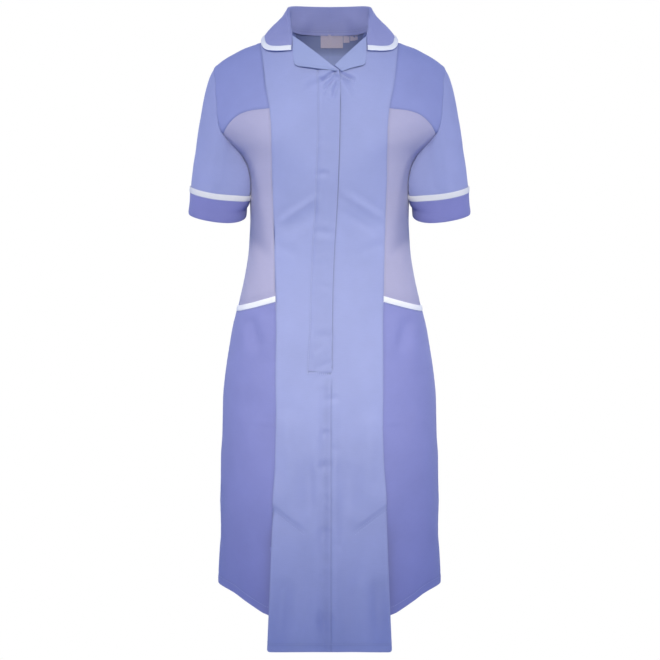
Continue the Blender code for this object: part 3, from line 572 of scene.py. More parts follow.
def twill(name, colour, roughness=0.78):
    """Polyester and cotton twill: fine diagonal ribs and uneven yarns, darkened where the seam attribute paints shade
    and shadows.
    """
    finish = Finish(name, Sheen_Weight=0.22, Sheen_Roughness=0.45, Specular_IOR_Level=0.28)
    finish.shows(Sheen_Tint=(0.80, 0.85, 1, 1))
    weave = finish.node("ShaderNodeUVMap", {"uv_map": "cloth"})
    split = weave.socket
    across = finish.node("ShaderNodeSeparateXYZ", {}, weave)
    along = Value(finish, across.socket.node.outputs[1])
    rib = ((across + along * 1.7) * (2 * math.pi / (0.95 * MM))).sine()
    thread = ((across * 1.7 - along) * (2 * math.pi / (0.62 * MM))).sine()
    place = finish.node("ShaderNodeTexCoord", {}, output=3)
    yarns = finish.node("ShaderNodeTexNoise", {}, weave, Scale=900, Detail=2, Roughness=0.6)
    cloudy = finish.node("ShaderNodeTexNoise", {}, place, Scale=13, Detail=3, Roughness=0.55)
    slubs = finish.node("ShaderNodeTexNoise", {}, finish.node("ShaderNodeMapping", {}, weave, Scale=(60, 900, 1)),
                        Scale=1, Detail=2, Roughness=0.5)
    # The seam attribute darkens the cloth: up to 1 a little, for painted shade in seam grooves and a few darker lines
    # and strips; above 1 towards a dark painted shadow.
    seam = finish.node("ShaderNodeAttribute", {"attribute_name": "seam"}, output=2)
    tone = (0.5 + (cloudy - 0.5) * 0.9 + (yarns - 0.5) * 0.5 + (slubs - 0.5) * 0.4 + rib * 0.06 - seam * 0.55).within()
    face = finish.blend(tone, shade(colour, 0.90), shade(colour, 1.10))
    face = finish.blend((seam - 1).within(), face, shade(colour, 0.35))
    inner_layer = finish.node("ShaderNodeAttribute", {"attribute_name": "inner_face"}, output=2)
    # Inner faces take the painted light colour, with painted shadow where the seam attribute passes 1.
    inside = finish.blend((seam - 1).within(), shade(INSIDE_PAINTED_LIGHT), shade(INSIDE_PAINTED_LIGHT, 0.25))
    finish.shows(Base_Color=finish.blend(inner_layer, face, inside))
    finish.shows(Roughness=(roughness + (yarns - 0.5) * 0.16 - seam * 0.05).within())
    finish.bumped(rib * 0.5 + thread * 0.2 + (yarns - 0.5) * 1.4 + (slubs - 0.5) * 0.8, 0.10 * MM, 0.55)
    return finish.material


def binding(name, colour):
    """White cotton binding, woven plain and slightly ribbed along its length."""
    finish = Finish(name, Sheen_Weight=0.15, Specular_IOR_Level=0.35)
    weave = finish.node("ShaderNodeUVMap", {"uv_map": "cloth"})
    across = finish.node("ShaderNodeSeparateXYZ", {}, weave)
    along = Value(finish, across.socket.node.outputs[1])
    rib = (along * (2 * math.pi / (0.7 * MM))).sine()
    cross = (across * (2 * math.pi / (0.7 * MM))).sine()
    yarns = finish.node("ShaderNodeTexNoise", {}, weave, Scale=700, Detail=2)
    soft = finish.node("ShaderNodeTexNoise", {}, weave, Scale=60, Detail=2)
    tone = (0.55 + (yarns - 0.5) * 0.8 + (soft - 0.5) * 0.6 + rib * cross * 0.15).within()
    finish.shows(Base_Color=finish.blend(tone, shade(colour, 0.90), shade(colour, 1.03)))
    finish.shows(Roughness=(0.66 + (yarns - 0.5) * 0.2).within())
    finish.bumped(rib * 0.4 + cross * 0.4 + (yarns - 0.5), 0.10 * MM, 0.5)
    return finish.material


def satin(name, colour):
    """Woven satin label tape, bare, with long floating threads."""
    finish = Finish(name, Specular_IOR_Level=0.5, Sheen_Weight=0.05)
    weave = finish.node("ShaderNodeUVMap", {"uv_map": "cloth"})
    floats = finish.node("ShaderNodeTexNoise", {}, finish.node("ShaderNodeMapping", {}, weave, Scale=(2600, 260, 1)),
                         Scale=1, Detail=2)
    tone = (0.5 + (floats - 0.5) * 1.2).within()
    finish.shows(Base_Color=finish.blend(tone, shade(colour, 0.86), shade(colour, 1.12)))
    finish.shows(Roughness=(0.42 + (floats - 0.5) * 0.2).within())
    finish.bumped(floats, 0.06 * MM, 0.5)
    return finish.material


def tape(name, colour):
    """Woven zip tape: a herringbone of coarse threads."""
    finish = Finish(name, Specular_IOR_Level=0.3, Sheen_Weight=0.1)
    weave = finish.node("ShaderNodeUVMap", {"uv_map": "cloth"})
    across = finish.node("ShaderNodeSeparateXYZ", {}, weave)
    along = Value(finish, across.socket.node.outputs[1])
    zigzag = ((across * (2 * math.pi / (2.4 * MM))).sine() * 1.2 + along * (2 * math.pi / (0.9 * MM))).sine()
    yarns = finish.node("ShaderNodeTexNoise", {}, weave, Scale=800, Detail=2)
    tone = (0.5 + zigzag * 0.3 + (yarns - 0.5) * 0.5).within()
    finish.shows(Base_Color=finish.blend(tone, shade(colour, 0.85), shade(colour, 1.15)))
    finish.shows(Roughness=(0.7 + (yarns - 0.5) * 0.2).within())
    finish.bumped(zigzag + (yarns - 0.5), 0.12 * MM, 0.6)
    return finish.material


def thread(name, colour):
    """Spun polyester sewing thread."""
    finish = Finish(name, Specular_IOR_Level=0.4, Sheen_Weight=0.1)
    place = finish.node("ShaderNodeTexCoord", {}, output=3)
    twist = finish.node("ShaderNodeTexNoise", {}, place, Scale=2500, Detail=2)
    finish.shows(Base_Color=finish.blend(twist, shade(colour, 0.85), shade(colour, 1.15)))
    finish.shows(Roughness=(0.5 + (twist - 0.5) * 0.3).within())
    finish.bumped(twist, 0.08 * MM, 0.6)
    return finish.material


LILAC = (0.362, 0.396, 0.668)
# Colour of every inner face: painted light, brighter and bluer than the outer face so the inside at the neck looks
# lit; both sides of the cloth itself are alike.
INSIDE_PAINTED_LIGHT = (0.365, 0.425, 0.770)
# Each piece gets a copy of one twill, and the copies' colours differ by painted light and shade. The side panels are
# painted lighter and pinker and the lapels lighter. The skirt sides, yokes, cuffs, collar and pleats are painted
# darker, and the back and sleeves a little darker. The cuff binding is the white binding with painted shade.
FINISHES = {
    "centre": twill("twill_centre", LILAC),
    "side": twill("twill_side", (0.462, 0.440, 0.620)),
    "skirt": twill("twill_skirt", (0.272, 0.285, 0.585)),
    "yoke": twill("twill_yoke", (0.295, 0.325, 0.615)),
    "sleeve": twill("twill_sleeve", (0.352, 0.382, 0.655)),
    "cuff": twill("twill_cuff", (0.245, 0.250, 0.545)),
    "collar": twill("twill_collar", (0.330, 0.343, 0.610)),
    "lapel": twill("twill_lapel", (0.378, 0.425, 0.680)),
    "back": twill("twill_back", (0.350, 0.380, 0.670)),
    "pleat": twill("twill_pleat", (0.280, 0.300, 0.600)),
    "piping": binding("white_binding", (0.95, 0.95, 0.96)),
    "cuff_piping": binding("cuff_binding", (0.86, 0.85, 0.84)),
    "label": satin("label_satin", (0.600, 0.530, 0.650)),
    "zip": tape("zip_tape_weave", (0.20, 0.24, 0.50)),
    "thread": thread("lilac_thread", (0.47, 0.52, 0.78)),
}
SHAPES = {}


def faces_of(rows, columns, ring):
    """Corners of a walled grid's faces, as (row, column, layer), layer 0 being the outer one."""
    i, j = np.meshgrid(np.arange(rows - 1), np.arange(columns - 1), indexing="ij")
    i, j = i.ravel(), j.ravel()

    def quads(*corners):
        return np.stack([np.stack(np.broadcast_arrays(*c), axis=-1) for c in corners], axis=1)

    sides = [
        quads((i, j, 0), (i, j + 1, 0), (i + 1, j + 1, 0), (i + 1, j, 0)),
        quads((i + 1, j, 1), (i + 1, j + 1, 1), (i, j + 1, 1), (i, j, 1)),
    ]
    k = np.arange(columns - 1)
    end = rows - 1
    sides.append(quads((0, k + 1, 0), (0, k, 0), (0, k, 1), (0, k + 1, 1)))
    sides.append(quads((end, k, 0), (end, k + 1, 0), (end, k + 1, 1), (end, k, 1)))
    if not ring:
        k = np.arange(rows - 1)
        end = columns - 1
        sides.append(quads((k, 0, 0), (k + 1, 0, 0), (k + 1, 0, 1), (k, 0, 1)))
        sides.append(quads((k + 1, end, 0), (k, end, 0), (k, end, 1), (k + 1, end, 1)))
    return np.concatenate(sides)


def cloth(node, outer, seam, finish, wall=WALL, ring=False, normals=None):
    """The piece that stands for a CAD node: a grid with a wall behind it, its weave laid out in metres."""
    normals = grid_normals(outer, ring) if normals is None else normals
    inner = outer - normals * wall
    u, v = lengths(outer)
    rows, columns = outer.shape[:2]
    kept = columns - 1 if ring else columns
    corners = faces_of(rows, columns, ring)
    at = corners[..., 2] * rows * kept + corners[..., 0] * kept + corners[..., 1] % kept
    places = np.concatenate([outer[:, :kept].reshape(-1, 3), inner[:, :kept].reshape(-1, 3)])
    mesh = bpy.data.meshes.new(node + "_cloth")
    mesh.from_pydata(places.tolist(), [], at.tolist())
    weave = mesh.uv_layers.new(name="cloth")
    laid = np.stack([u, v], axis=-1)[corners[..., 0], corners[..., 1]]
    weave.data.foreach_set("uv", laid.reshape(-1).astype(np.float32))
    # The seam attribute carries the painted shade and painted shadows.
    painted_shade_marks = mesh.attributes.new("seam", "FLOAT", "POINT")
    painted_shade_marks.data.foreach_set("value", np.tile(seam[:, :kept].reshape(-1), 2).astype(np.float32))
    # Marks the inner faces, which take the painted light colour.
    inner_layer = mesh.attributes.new("inner_face", "FLOAT", "POINT")
    inner_layer.data.foreach_set("value", np.repeat([0.0, 1.0], rows * kept).astype(np.float32))
    mesh.shade_smooth()
    mesh.set_sharp_from_angle(angle=math.radians(50))
    mesh.materials.append(FINISHES[finish])
    made = bpy.data.objects.new(node + "_cloth", mesh)
    bpy.context.scene.collection.objects.link(made)
    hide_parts(node)
    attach(made, "root")
    SHAPES[node] = {"object": made, "outer": outer, "normals": normals, "u": u, "v": v}
    return made


def both_sides(name, outer, seam, finish, wall=WALL, ring=False, normals=None):
    cloth(name + "_left", outer, seam, finish, wall, ring, normals)
    other = None if normals is None else mirrored(normals)
    cloth(name + "_right", mirrored(outer), seam[:, ::-1], finish, wall, ring, other)


def near_border(name, border, insets):
    """Points and normals at distances from one border of a finished piece. Each inset gives a row."""
    shape = SHAPES[name]
    points, normals = shape["outer"], shape["normals"]
    if border in "lr":
        points, normals = points.swapaxes(0, 1), normals.swapaxes(0, 1)
    if border in "rt":
        points, normals = points[::-1], normals[::-1]
    found = []
    for line, way in zip(points.swapaxes(0, 1), normals.swapaxes(0, 1)):
        length = np.concatenate([[0], np.cumsum(np.linalg.norm(np.diff(line, axis=0), axis=1))])
        both = np.concatenate([line, way], axis=1)
        found.append([[np.interp(inset, length, both[:, k]) for k in range(6)] for inset in insets])
    found = np.array(found).swapaxes(0, 1)
    way = found[..., 3:]
    return found[..., :3], way / np.linalg.norm(way, axis=-1, keepdims=True)


def hem_line(distance):
    """Relief of a turned-up hem: slightly thicker below its stitch line, which draws the cloth in."""
    turned = 0.35 * MM * ramp(-distance, -TURN_UP, -TURN_UP + 2 * MM)
    drawn = -0.7 * MM * hump(distance - TURN_UP, 1.3 * MM)
    # The second value paints shade along the stitch line's groove.
    return turned + drawn, 0.9 * hump(distance - TURN_UP, 1.6 * MM)


def groove(away, width=1.4, depth=0.55):
    # A groove's relief, and a mark that paints shade along it.
    return -depth * MM * hump(away, width * MM), 0.8 * hump(away, 1.7 * MM)


def to_segment(points, start, end):
    """Distance from a segment in the plane of the front, and the share along it."""
    way = np.array(end) - np.array(start)
    from_start = points[..., [0, 2]] - np.array(start)
    t = from_start @ way / (way @ way)
    clipped = np.clip(t, 0, 1)
    across = (from_start[..., 0] * way[1] - from_start[..., 1] * way[0]) / np.linalg.norm(way)
    return np.linalg.norm(from_start - clipped[..., None] * way, axis=-1), across, t


PLEAT_STITCH = ((0.0990, -0.8270), (0.0442, -0.8668))


def centre_relief(side):
    """Relief of a centre front: placket and its stitch line, pleat stitching, hem, and puckers of the centre seam."""

    def relief(points, u, v):
        x, z = points[..., 0], points[..., 2]
        height, painted_shade_marks = hem_line(v)
        for offset in (0, 0.0062):
            start = (side * PLEAT_STITCH[0][0], PLEAT_STITCH[0][1] - offset)
            end = (side * PLEAT_STITCH[1][0], PLEAT_STITCH[1][1] - offset)
            away, across, t = to_segment(points, start, end)
            height += 0.55 * MM * hump(away, 1.3 * MM) - 0.25 * MM * hump(away - 2.8 * MM, 1.5 * MM)
        away, across, t = to_segment(points, (side * 0.0990, -0.8330), (side * 0.0442, -0.8728))
        under = side * across
        height += 6.5 * MM * ramp(under, 0, 14 * MM) * ramp(-under, -60 * MM, -18 * MM) * ramp(-t, -1.15, -0.75)
        if side > 0:
            beside = x - FRONT_SEAMS("edge", z)
            above = ramp(z, OPENING_END - 1 * MM, OPENING_END + 12 * MM)
            height -= 0.8 * MM * hump(beside, 4 * MM) * above
            # Painted shadow of the placket's free edge on the left front.
            painted_shade_marks = np.maximum(painted_shade_marks, 1.9 * hump(beside - 0.5 * MM, 1.3 * MM) * above)
        if side < 0:
            edge = FRONT_SEAMS("edge", z)
            line = x - edge + PLACKET_STITCH + 0.004 * ramp(-z, 0.50, 0.60)
            along = ramp(z, OPENING_END - 2 * MM, OPENING_END + 1 * MM)
            dip, groove_shade = groove(line, 1.5, 0.65)
            height += dip * along
            # The placket strip below the chest is coloured slightly darker, and the stitch line's groove gets painted
            # shade.
            band = 0.3 * ramp(line, 1 * MM, 4 * MM) * ramp(-z, 0.12, 0.24)
            painted_shade_marks = np.maximum(painted_shade_marks, np.maximum(1.2 * groove_shade, band) * along)
            beat = np.sin(z / (2.6 * MM) + 1.7 * np.sin(z / 0.041))
            height += 0.13 * MM * beat * hump(line - 4 * MM, 6 * MM) * along
            end, groove_shade = groove(z - OPENING_END - 1.5 * MM + 0.08 * (x - edge), 1.6, 1.1)
            within = ramp(line, -1 * MM, 1 * MM) * ramp(-z, 0.5, 0.55)
            height += end * within
            # Painted shade along the tack's groove.
            painted_shade_marks = np.maximum(painted_shade_marks, groove_shade * within * 2.0)
        below = ramp(-z, -OPENING_END, -OPENING_END + 0.02)
        seam_x = x - FRONT_SEAMS("edge", z)
        beat = np.sin(z / (2.4 * MM) + 2.3 * np.sin(z / 0.037)) * (0.6 + 0.4 * np.sin(z / 0.023))
        height += below * (0.42 * MM * beat * hump(seam_x, 7 * MM) - 1.0 * MM * hump(seam_x, 1.4 * MM))
        # Painted shade along the centre seam's groove.
        painted_shade_marks = np.maximum(painted_shade_marks, 1.25 * below * hump(seam_x, 1.6 * MM))
        # Painted shade in dents beside the centre seam, on the right front.
        shaded = np.clip(np.sin(z / 0.0125 + 1.4 * np.sin(z / 0.047)), 0, 1) ** 2
        painted_shade_marks = np.maximum(painted_shade_marks, below * (0.45 + 0.55 * shaded) * hump(seam_x + 8 * MM, 7 * MM) * (side < 0))
        return height, painted_shade_marks

    return relief


def make_centre_fronts():
    """The two centre fronts: below the opening they meet, and along it the right one lies over the left."""

    def left_place(share, level):
        outer = FRONT_SEAMS("princess", level)
        inner = FRONT_SEAMS("edge", level) - OVERLAP * ramp(level, OPENING_END, OPENING_END + 0.014)
        return centre_face(inner + (outer - inner) * share, level)

    def right_place(share, level):
        outer = FRONT_SEAMS("princess", level)
        inner = FRONT_SEAMS("edge", level)
        x = -outer + (inner + outer) * share
        points = centre_face(x, level)
        near = ramp(x - inner, -PLACKET_STITCH - 0.5 * MM, -PLACKET_STITCH + 7 * MM)
        above = ramp(level, OPENING_END - 1 * MM, OPENING_END + 5 * MM)
        points[..., 1] -= OVERLAP_LIFT * near * above
        return points

    corner = lambda x: HEM_CORNER - np.sqrt(
        np.maximum(HEM_CORNER**2 - np.maximum(HEM_CORNER - (0.1052 - np.abs(x)), 0) ** 2, 0)
    )
    hem = lambda x: FRONT_HEM + corner(x)
    left = panel(left_place, spread(58, 0.095), 300, hem, lambda x: NECK_LEFT("z", x), join=(-0.105, 26))
    right = panel(right_place, spread(66, 0.105), 300, hem, lambda x: NECK_RIGHT("z", x), join=(-0.105, 26))
    princess = "r"
    outer, seam = shaped(left, princess, extra=centre_relief(1))
    cloth("front_centre_left", outer, seam, "centre")
    outer, seam = shaped(right, "l", extra=centre_relief(-1))
    cloth("front_centre_right", outer, seam, "centre")
    make_zip_tape()


def make_zip_tape():
    """The concealed zip's tape, on the inside of the left front along its free edge."""
    points, normals = near_border("front_centre_left", "l", np.linspace(0, 0.022, 8))
    points, normals = points[::-1].swapaxes(0, 1)[:, ::-1], normals[::-1].swapaxes(0, 1)[:, ::-1]
    kept = (points[..., 2] > OPENING_END + 0.02).all(axis=1) & (points[..., 2] < -0.120).all(axis=1)
    points, normals = points[kept], normals[kept]
    behind = points - normals * (CAD_WALL + 0.3 * MM)
    cloth("zip_tape", behind, np.zeros(behind.shape[:2]), "zip", 0.8 * MM, normals=normals)


def side_edge(level, column="front"):
    turn = np.where(level < CHEST, 90, ARMHOLE(column, level))
    return turn if column == "front" else 180 - turn


def pleat_lap(level):
    return 0.010 * ramp(-level, 0.872, 0.94)


def side_place(share, level):
    inner = turn_at(FRONT_SEAMS("princess", level) - pleat_lap(level), level)
    return body(inner + (side_edge(level) - inner) * share, level)


def pocket_mouth(x):
    share = np.clip((x - 0.0928) / (0.158 - 0.0928), 0, 1)
    return POCKET_INNER_Z + (POCKET_OUTER_Z - POCKET_INNER_Z) * share


def make_side_fronts():
    """The side panel runs down behind the pocket's mouth. The skirt's side piece is the pocket's outer layer."""
    upper = panel(side_place, spread(17, 0.075), 122, everywhere(POCKET_BOTTOM), lambda x: YOKE("z", x))

    def sunk(points, u, v):
        return -LAYER * (1 - ramp(points[..., 2] - pocket_mouth(points[..., 0]), 0, 12 * MM)), 0 * v

    outer, seam = shaped(upper, "lrt", extra=sunk)
    both_sides("front_side", outer, seam, "side")
    yoke = panel(side_place, spread(21, 0.085), 34, lambda x: YOKE("z", x), everywhere(1))
    outer, seam = shaped(yoke, "lrb")
    both_sides("front_yoke", outer, seam, "yoke")
    skirt = panel(side_place, spread(21, 0.090), 120, lambda x: HEM("z", x), pocket_mouth)

    def hemmed(points, u, v):
        height, painted_shade_marks = hem_line(v)
        mouth = v[-1:] - v
        dip, groove_shade = groove(mouth - PIPING_WIDTH - 1 * MM, 1.4, 0.35)
        # Beside the pleat the skirt's edge is pushed back and painted with the centre front's shadow; the piping's
        # stitch groove gets painted shade.
        free = ramp(-points[..., 2], 0.835, 0.90) * hump(u, 16 * MM)
        return height + dip - 3.5 * MM * free, np.maximum(painted_shade_marks, np.maximum(groove_shade, 1.22 * free))

    outer, seam = shaped(skirt, "lr", extra=hemmed)
    both_sides("skirt_side", outer, seam, "skirt")
    for side in ("left", "right"):
        make_piping("pocket_piping_" + side, "skirt_side_" + side, "t", 0, PIPING_WIDTH, 0.3 * MM)


def make_piping(name, on, border, start, end, lift, thickness=1.1 * MM, ring=False):
    """A flat white piping laid on a finished piece, between two distances from one of its borders."""
    insets = np.linspace(start, end, 9)
    points, normals = near_border(on, border, insets)
    across = np.linspace(-1, 1, 9)[:, None]
    pillow = thickness * (0.55 + 0.45 * np.sqrt(np.maximum(1 - across**4, 0)))
    ridge = 0.12 * MM * hump(across - 0.62, 0.12) + 0.12 * MM * hump(across + 0.62, 0.12)
    outer = points + normals * (lift + pillow - ridge)[..., None]
    if border in "lr":
        outer, normals = outer.swapaxes(0, 1), normals.swapaxes(0, 1)
    if border in "rt":
        outer, normals = outer[::-1], normals[::-1]
    cloth(name, outer, np.zeros(outer.shape[:2]), "piping", 0.8 * MM, ring, normals)


def make_backs():
    def place(share, level):
        outer = side_edge(level, "back")
        return body(outer + (180 - outer) * share, level)

    def relief(points, u, v):
        height, painted_shade_marks = hem_line(v)
        x, z = points[..., 0], points[..., 2]
        dart = 0.077 + 0.010 * ramp(-z, 0.30, 0.50) - 0.006 * ramp(z, -0.36, -0.25)
        shown = ramp(z, -0.500, -0.470) * ramp(-z, 0.235, 0.265)
        # The dart's groove gets painted shade.
        dip, groove_shade = groove(x - dart, 1.4, 0.6)
        height += dip * shown
        # Painted shadow of the collar across the top of the back, on both its faces.
        painted_collar_shadow = 1.45 * ramp(z, -0.062, -0.022) * ramp(-x, -0.068, -0.062)
        return height, np.maximum(np.maximum(painted_shade_marks, groove_shade * shown), painted_collar_shadow)

    grid = panel(place, spread(50, 0.21), 236, everywhere(BACK_HEM), lambda x: NECK_BACK("z", x))
    outer, seam = shaped(grid, "lr", extra=relief)
    both_sides("back", outer, seam, "back")


def make_labels():
    """The labels, which hang from the back neck seam and lie on the inside of the back."""
    left, ways = near_border("back_left", "t", np.linspace(0, 0.0245, 15))
    right, other = near_border("back_right", "t", np.linspace(0, 0.0245, 15))
    points = np.concatenate([left, right[:, 1:]], axis=1)[::-1]
    normals = np.concatenate([ways, other[:, 1:]], axis=1)[::-1]
    both = np.concatenate([points, normals], axis=-1)
    drops = np.linspace(0.0245, 0, 15)
    for name, (width, drop, start) in LABELS.items():
        columns = np.linspace(start + width, start, 21 if name == "neck_label" else 9)
        rows = np.linspace(drop, 0, 15)
        lines = np.array([[[np.interp(x, row[::-1, 0], row[::-1, k]) for k in range(6)] for x in columns] for row in both])
        grid = np.array([[[np.interp(-d, -drops, lines[:, j, k]) for k in range(6)] for j in range(len(columns))]
                         for d in rows])
        way = grid[..., 3:] / np.linalg.norm(grid[..., 3:], axis=-1, keepdims=True)
        away = np.abs(np.linspace(-1, 1, len(columns)))[None, :]
        hanging = (rows / drop)[:, None]
        lift = CAD_WALL + 0.3 * MM + (0.5 * hanging**2 + 0.35 * hanging * away**2) * MM
        outer = grid[..., :3] - way * lift[..., None] + np.array([0, 0, 2.5 * MM])
        cloth(name, outer, np.zeros(outer.shape[:2]), "label", 0.5 * MM, normals=way)


def make_pleats():
    """The cloth folded behind the centre front: one layer behind it, a turn, and one back to the side panel."""
    count = 13
    shares = np.linspace(0, 1, count)
    turns = np.radians(np.linspace(0, 180, 9)[1:-1])
    rows = np.linspace(0, 1, 44)[:, None]
    tip = FRONT_SEAMS("princess", PLEAT_TOP)
    deep = PLEAT_DEPTH * np.concatenate([shares, np.ones(len(turns)), shares[::-1]])
    level = PLEAT_HEM + rows * (PLEAT_TOP - 0.004 - PLEAT_SLANT * deep - PLEAT_HEM)
    edge = FRONT_SEAMS("princess", level) - 2.0 * MM
    behind = centre_face(edge - deep, level)
    first_y = behind[..., 1] + 2 * CAD_WALL + 0.3 * MM
    side_x = FRONT_SEAMS("princess", level) - pleat_lap(level) + PLEAT_LAP
    side_y = front_face(side_x, level)[..., 1] + CAD_WALL + 1.5 * MM
    fold_y = first_y + PLEAT_INSIDE
    last_y = np.maximum(side_y, fold_y)
    past = count + len(turns)
    back_share = np.concatenate([np.zeros(past), shares])[None, :]
    points = np.empty((*level.shape, 3))
    points[..., 0] = edge - deep
    points[..., 1] = first_y
    points[..., 2] = height_of(tip, level)
    points[:, past:, 0] = ((edge - PLEAT_DEPTH) + (side_x + 0 * deep - edge + PLEAT_DEPTH) * back_share)[:, past:]
    points[:, past:, 1] = (fold_y + (last_y - fold_y) * back_share)[:, past:]
    for column, angle in zip(range(count, past), turns):
        points[:, column, 0] -= PLEAT_INSIDE / 2 * math.sin(angle)
        points[:, column, 1] += PLEAT_INSIDE / 2 * (1 - math.cos(angle))
    front = np.zeros(behind.shape)
    front[..., 1] = -1
    for side, word in ((1, "left"), (-1, "right")):
        place = behind * np.array([side, 1, 1])
        shifted = points.copy()
        shifted[..., 1] -= waves(place) + creases(place, front) * (1 - back_share)
        if side < 0:
            shifted = mirrored(shifted)
        cloth("pleat_" + word, shifted, np.zeros(shifted.shape[:2]), "pleat")


def armhole_loop(turns):
    """Points of the armhole from its top, by the front, to the underarm and back up behind."""
    levels = CHEST * np.linspace(0, 1, 400) ** 2
    halves = []
    for column in ("front", "back"):
        turn = ARMHOLE(column, levels)
        line = body(turn if column == "front" else 180 - turn, levels)
        length = np.concatenate([[0], np.cumsum(np.linalg.norm(np.diff(line, axis=0), axis=1))])
        halves.append((line, length / length[-1]))
    points = []
    for turn in turns:
        line, share = halves[0] if turn <= 180 else halves[1]
        at = turn / 180 if turn <= 180 else (360 - turn) / 180
        points.append([np.interp(at, share, line[:, k]) for k in range(3)])
    return np.array(points)


def clear_of_body(points, clearance):
    """Pushes points outwards from the side of the body, where a sleeve hangs against it."""
    x, y, z = points[..., 0], points[..., 1], points[..., 2]
    level = np.minimum(z, CHEST)
    half = BODY("half", level) + clearance
    depth = np.where(y < 0, depth_of("front", level), depth_of("back", level)) + clearance
    reach = (np.abs(x / half) ** SQUARENESS + np.abs(y / depth) ** SQUARENESS) ** (1 / SQUARENESS)
    scale = np.where(reach < 1, 1 / np.maximum(reach, 1e-6), 1)
    moved = points.copy()
    moved[..., 0] = x * scale
    moved[..., 1] = y * scale
    part = ramp(-z, -CHEST - 0.015, -CHEST + 0.01)[..., None]
    return points + (moved - points) * part


def sleeve_lines(turns, steps):
    """Lines down the left sleeve from the armhole to the hem, one for each turn round the arm."""
    start = armhole_loop(turns)
    angle = np.radians(turns)
    hem = np.empty_like(start)
    hem[:, 0] = HEM_CENTRE[0] + HEM_RADII[0] * np.cos(angle)
    hem[:, 1] = HEM_CENTRE[1] - HEM_RADII[1] * np.sin(angle)
    hem[:, 2] = HEM_CENTRE[2] + HEM_TILT[0] * (hem[:, 0] - HEM_CENTRE[0]) + HEM_TILT[1] * (hem[:, 1] - HEM_CENTRE[1])
    hem[:, 2] += 6 * MM * np.maximum(np.cos((angle - math.pi) / 2), 0) ** 16
    leave = np.stack([SLEEVE_START(axis, turns) for axis in "xyz"], axis=-1)
    leave = leave / np.linalg.norm(leave, axis=-1, keepdims=True)
    low = np.cos((angle - math.pi) / 2)[:, None] ** 4
    inwards = start.mean(axis=0) - start
    inwards /= np.linalg.norm(inwards, axis=-1, keepdims=True)
    start = start + (inwards * 0.9 * MM - np.array([1.5 * MM, 0, 0])) * (1 - low)
    reach = SLEEVE_START("reach", turns)[:, None]
    arrive = np.array([0.10, 0.0, -0.995]) * 0.16
    t = np.linspace(0, 1, steps)[:, None, None]
    lines = (
        (1 + 2 * t) * (1 - t) ** 2 * start
        + t * (1 - t) ** 2 * (leave * reach)
        + t * t * (3 - 2 * t) * hem
        - t * t * (1 - t) * arrive
    )
    beside = hump(turns - 148, 30) + hump(turns - 212, 30)
    lines[..., 0] -= 20 * MM * beside * np.sin(math.pi * np.clip(t[..., 0] / 0.88, 0, 1)) ** 0.7
    return clear_of_body(lines, SLEEVE_CLEAR)


def cut_lines(lines, first, last, rows):
    """Rows of points along the lines. first and last are lengths from the hem; rows are close beside both ends."""
    near = np.array([1.2 * MM, 3 * MM])
    grid = []
    for line in lines.swapaxes(0, 1):
        length = np.concatenate([[0], np.cumsum(np.linalg.norm(np.diff(line, axis=0), axis=1))])
        start = 0 if first is None else length[-1] - first
        end = length[-1] - last
        even = np.linspace(start + 2 * near[-1], end - 2 * near[-1], rows)
        at = np.concatenate([[start], start + near, even, end - near[::-1], [end]])
        grid.append([np.interp(at, length, line[:, k]) for k in range(3)])
    return np.array(grid).transpose(2, 0, 1)


def sleeve_relief(points, u, v):
    """Folds that fall from the front and back of the armhole, and a fold across the inside of the elbow's side."""
    x, y, z = points[..., 0], points[..., 1], points[..., 2]
    height = np.zeros(x.shape)
    for x1, z1, x2, z2, width, rise in (
        (0.196, -0.160, 0.214, -0.245, 8.0, -1.6), (0.178, -0.195, 0.190, -0.275, 7.0, 1.3),
        (0.212, -0.120, 0.234, -0.200, 10.0, 1.3), (0.170, -0.215, 0.178, -0.280, 6.0, -1.4),
        (0.220, -0.215, 0.236, -0.275, 12.0, -1.2), (0.200, -0.255, 0.206, -0.290, 9.0, 1.0),
    ):
        away, _, t = to_segment(points, (x1, z1), (x2, z2))
        height += rise * MM * hump(away, width * MM) * np.where(y < 0, 1.0, 0.8)
    return height * ramp(np.abs(y), 0.004, 0.02) * ramp(x, 0.165, 0.185), 0 * v


def make_sleeves():
    turns = np.linspace(0, 360, 113)
    lines = sleeve_lines(turns, 220)
    sleeve = cut_lines(lines, None, CUFF_HEIGHT, 48)
    outer, seam = shaped(sleeve, "", ring=True, depth=0.8, extra=sleeve_relief)
    outer[:, -1], seam[:, -1] = outer[:, 0], seam[:, 0]
    both_sides("sleeve", outer, seam, "sleeve", ring=True)
    cuff = cut_lines(lines, CUFF_HEIGHT + 1 * MM, 0, 9)
    cuff = cuff + grid_normals(cuff, ring=True) * 0.5 * MM

    def cuffed(points, u, v):
        away = v[-1:] - v
        rolled = -0.9 * MM * hump(away, 1.2 * MM) + 0.5 * MM * hump(away - 7 * MM, 6 * MM)
        return rolled, 0 * v

    outer, seam = shaped(cuff, "b", ring=True, depth=0.8, extra=cuffed)
    outer[:, -1], seam[:, -1] = outer[:, 0], seam[:, 0]
    both_sides("cuff", outer, seam, "cuff", 1.8 * MM, ring=True)
    strip = cut_strip(lines, CUFF_HEIGHT + PIPING_WIDTH / 2, CUFF_HEIGHT - PIPING_WIDTH / 2, 8)
    normals = grid_normals(strip, ring=True)
    across = np.linspace(-1, 1, len(strip))[:, None]
    height = 0.8 * waves(strip) + 0.8 * MM + 1.1 * MM * (0.55 + 0.45 * np.sqrt(np.maximum(1 - across**4, 0)))
    outer = strip + normals * height[..., None]
    both_sides("cuff_piping", outer, np.zeros(outer.shape[:2]), "cuff_piping", 0.9 * MM, ring=True)


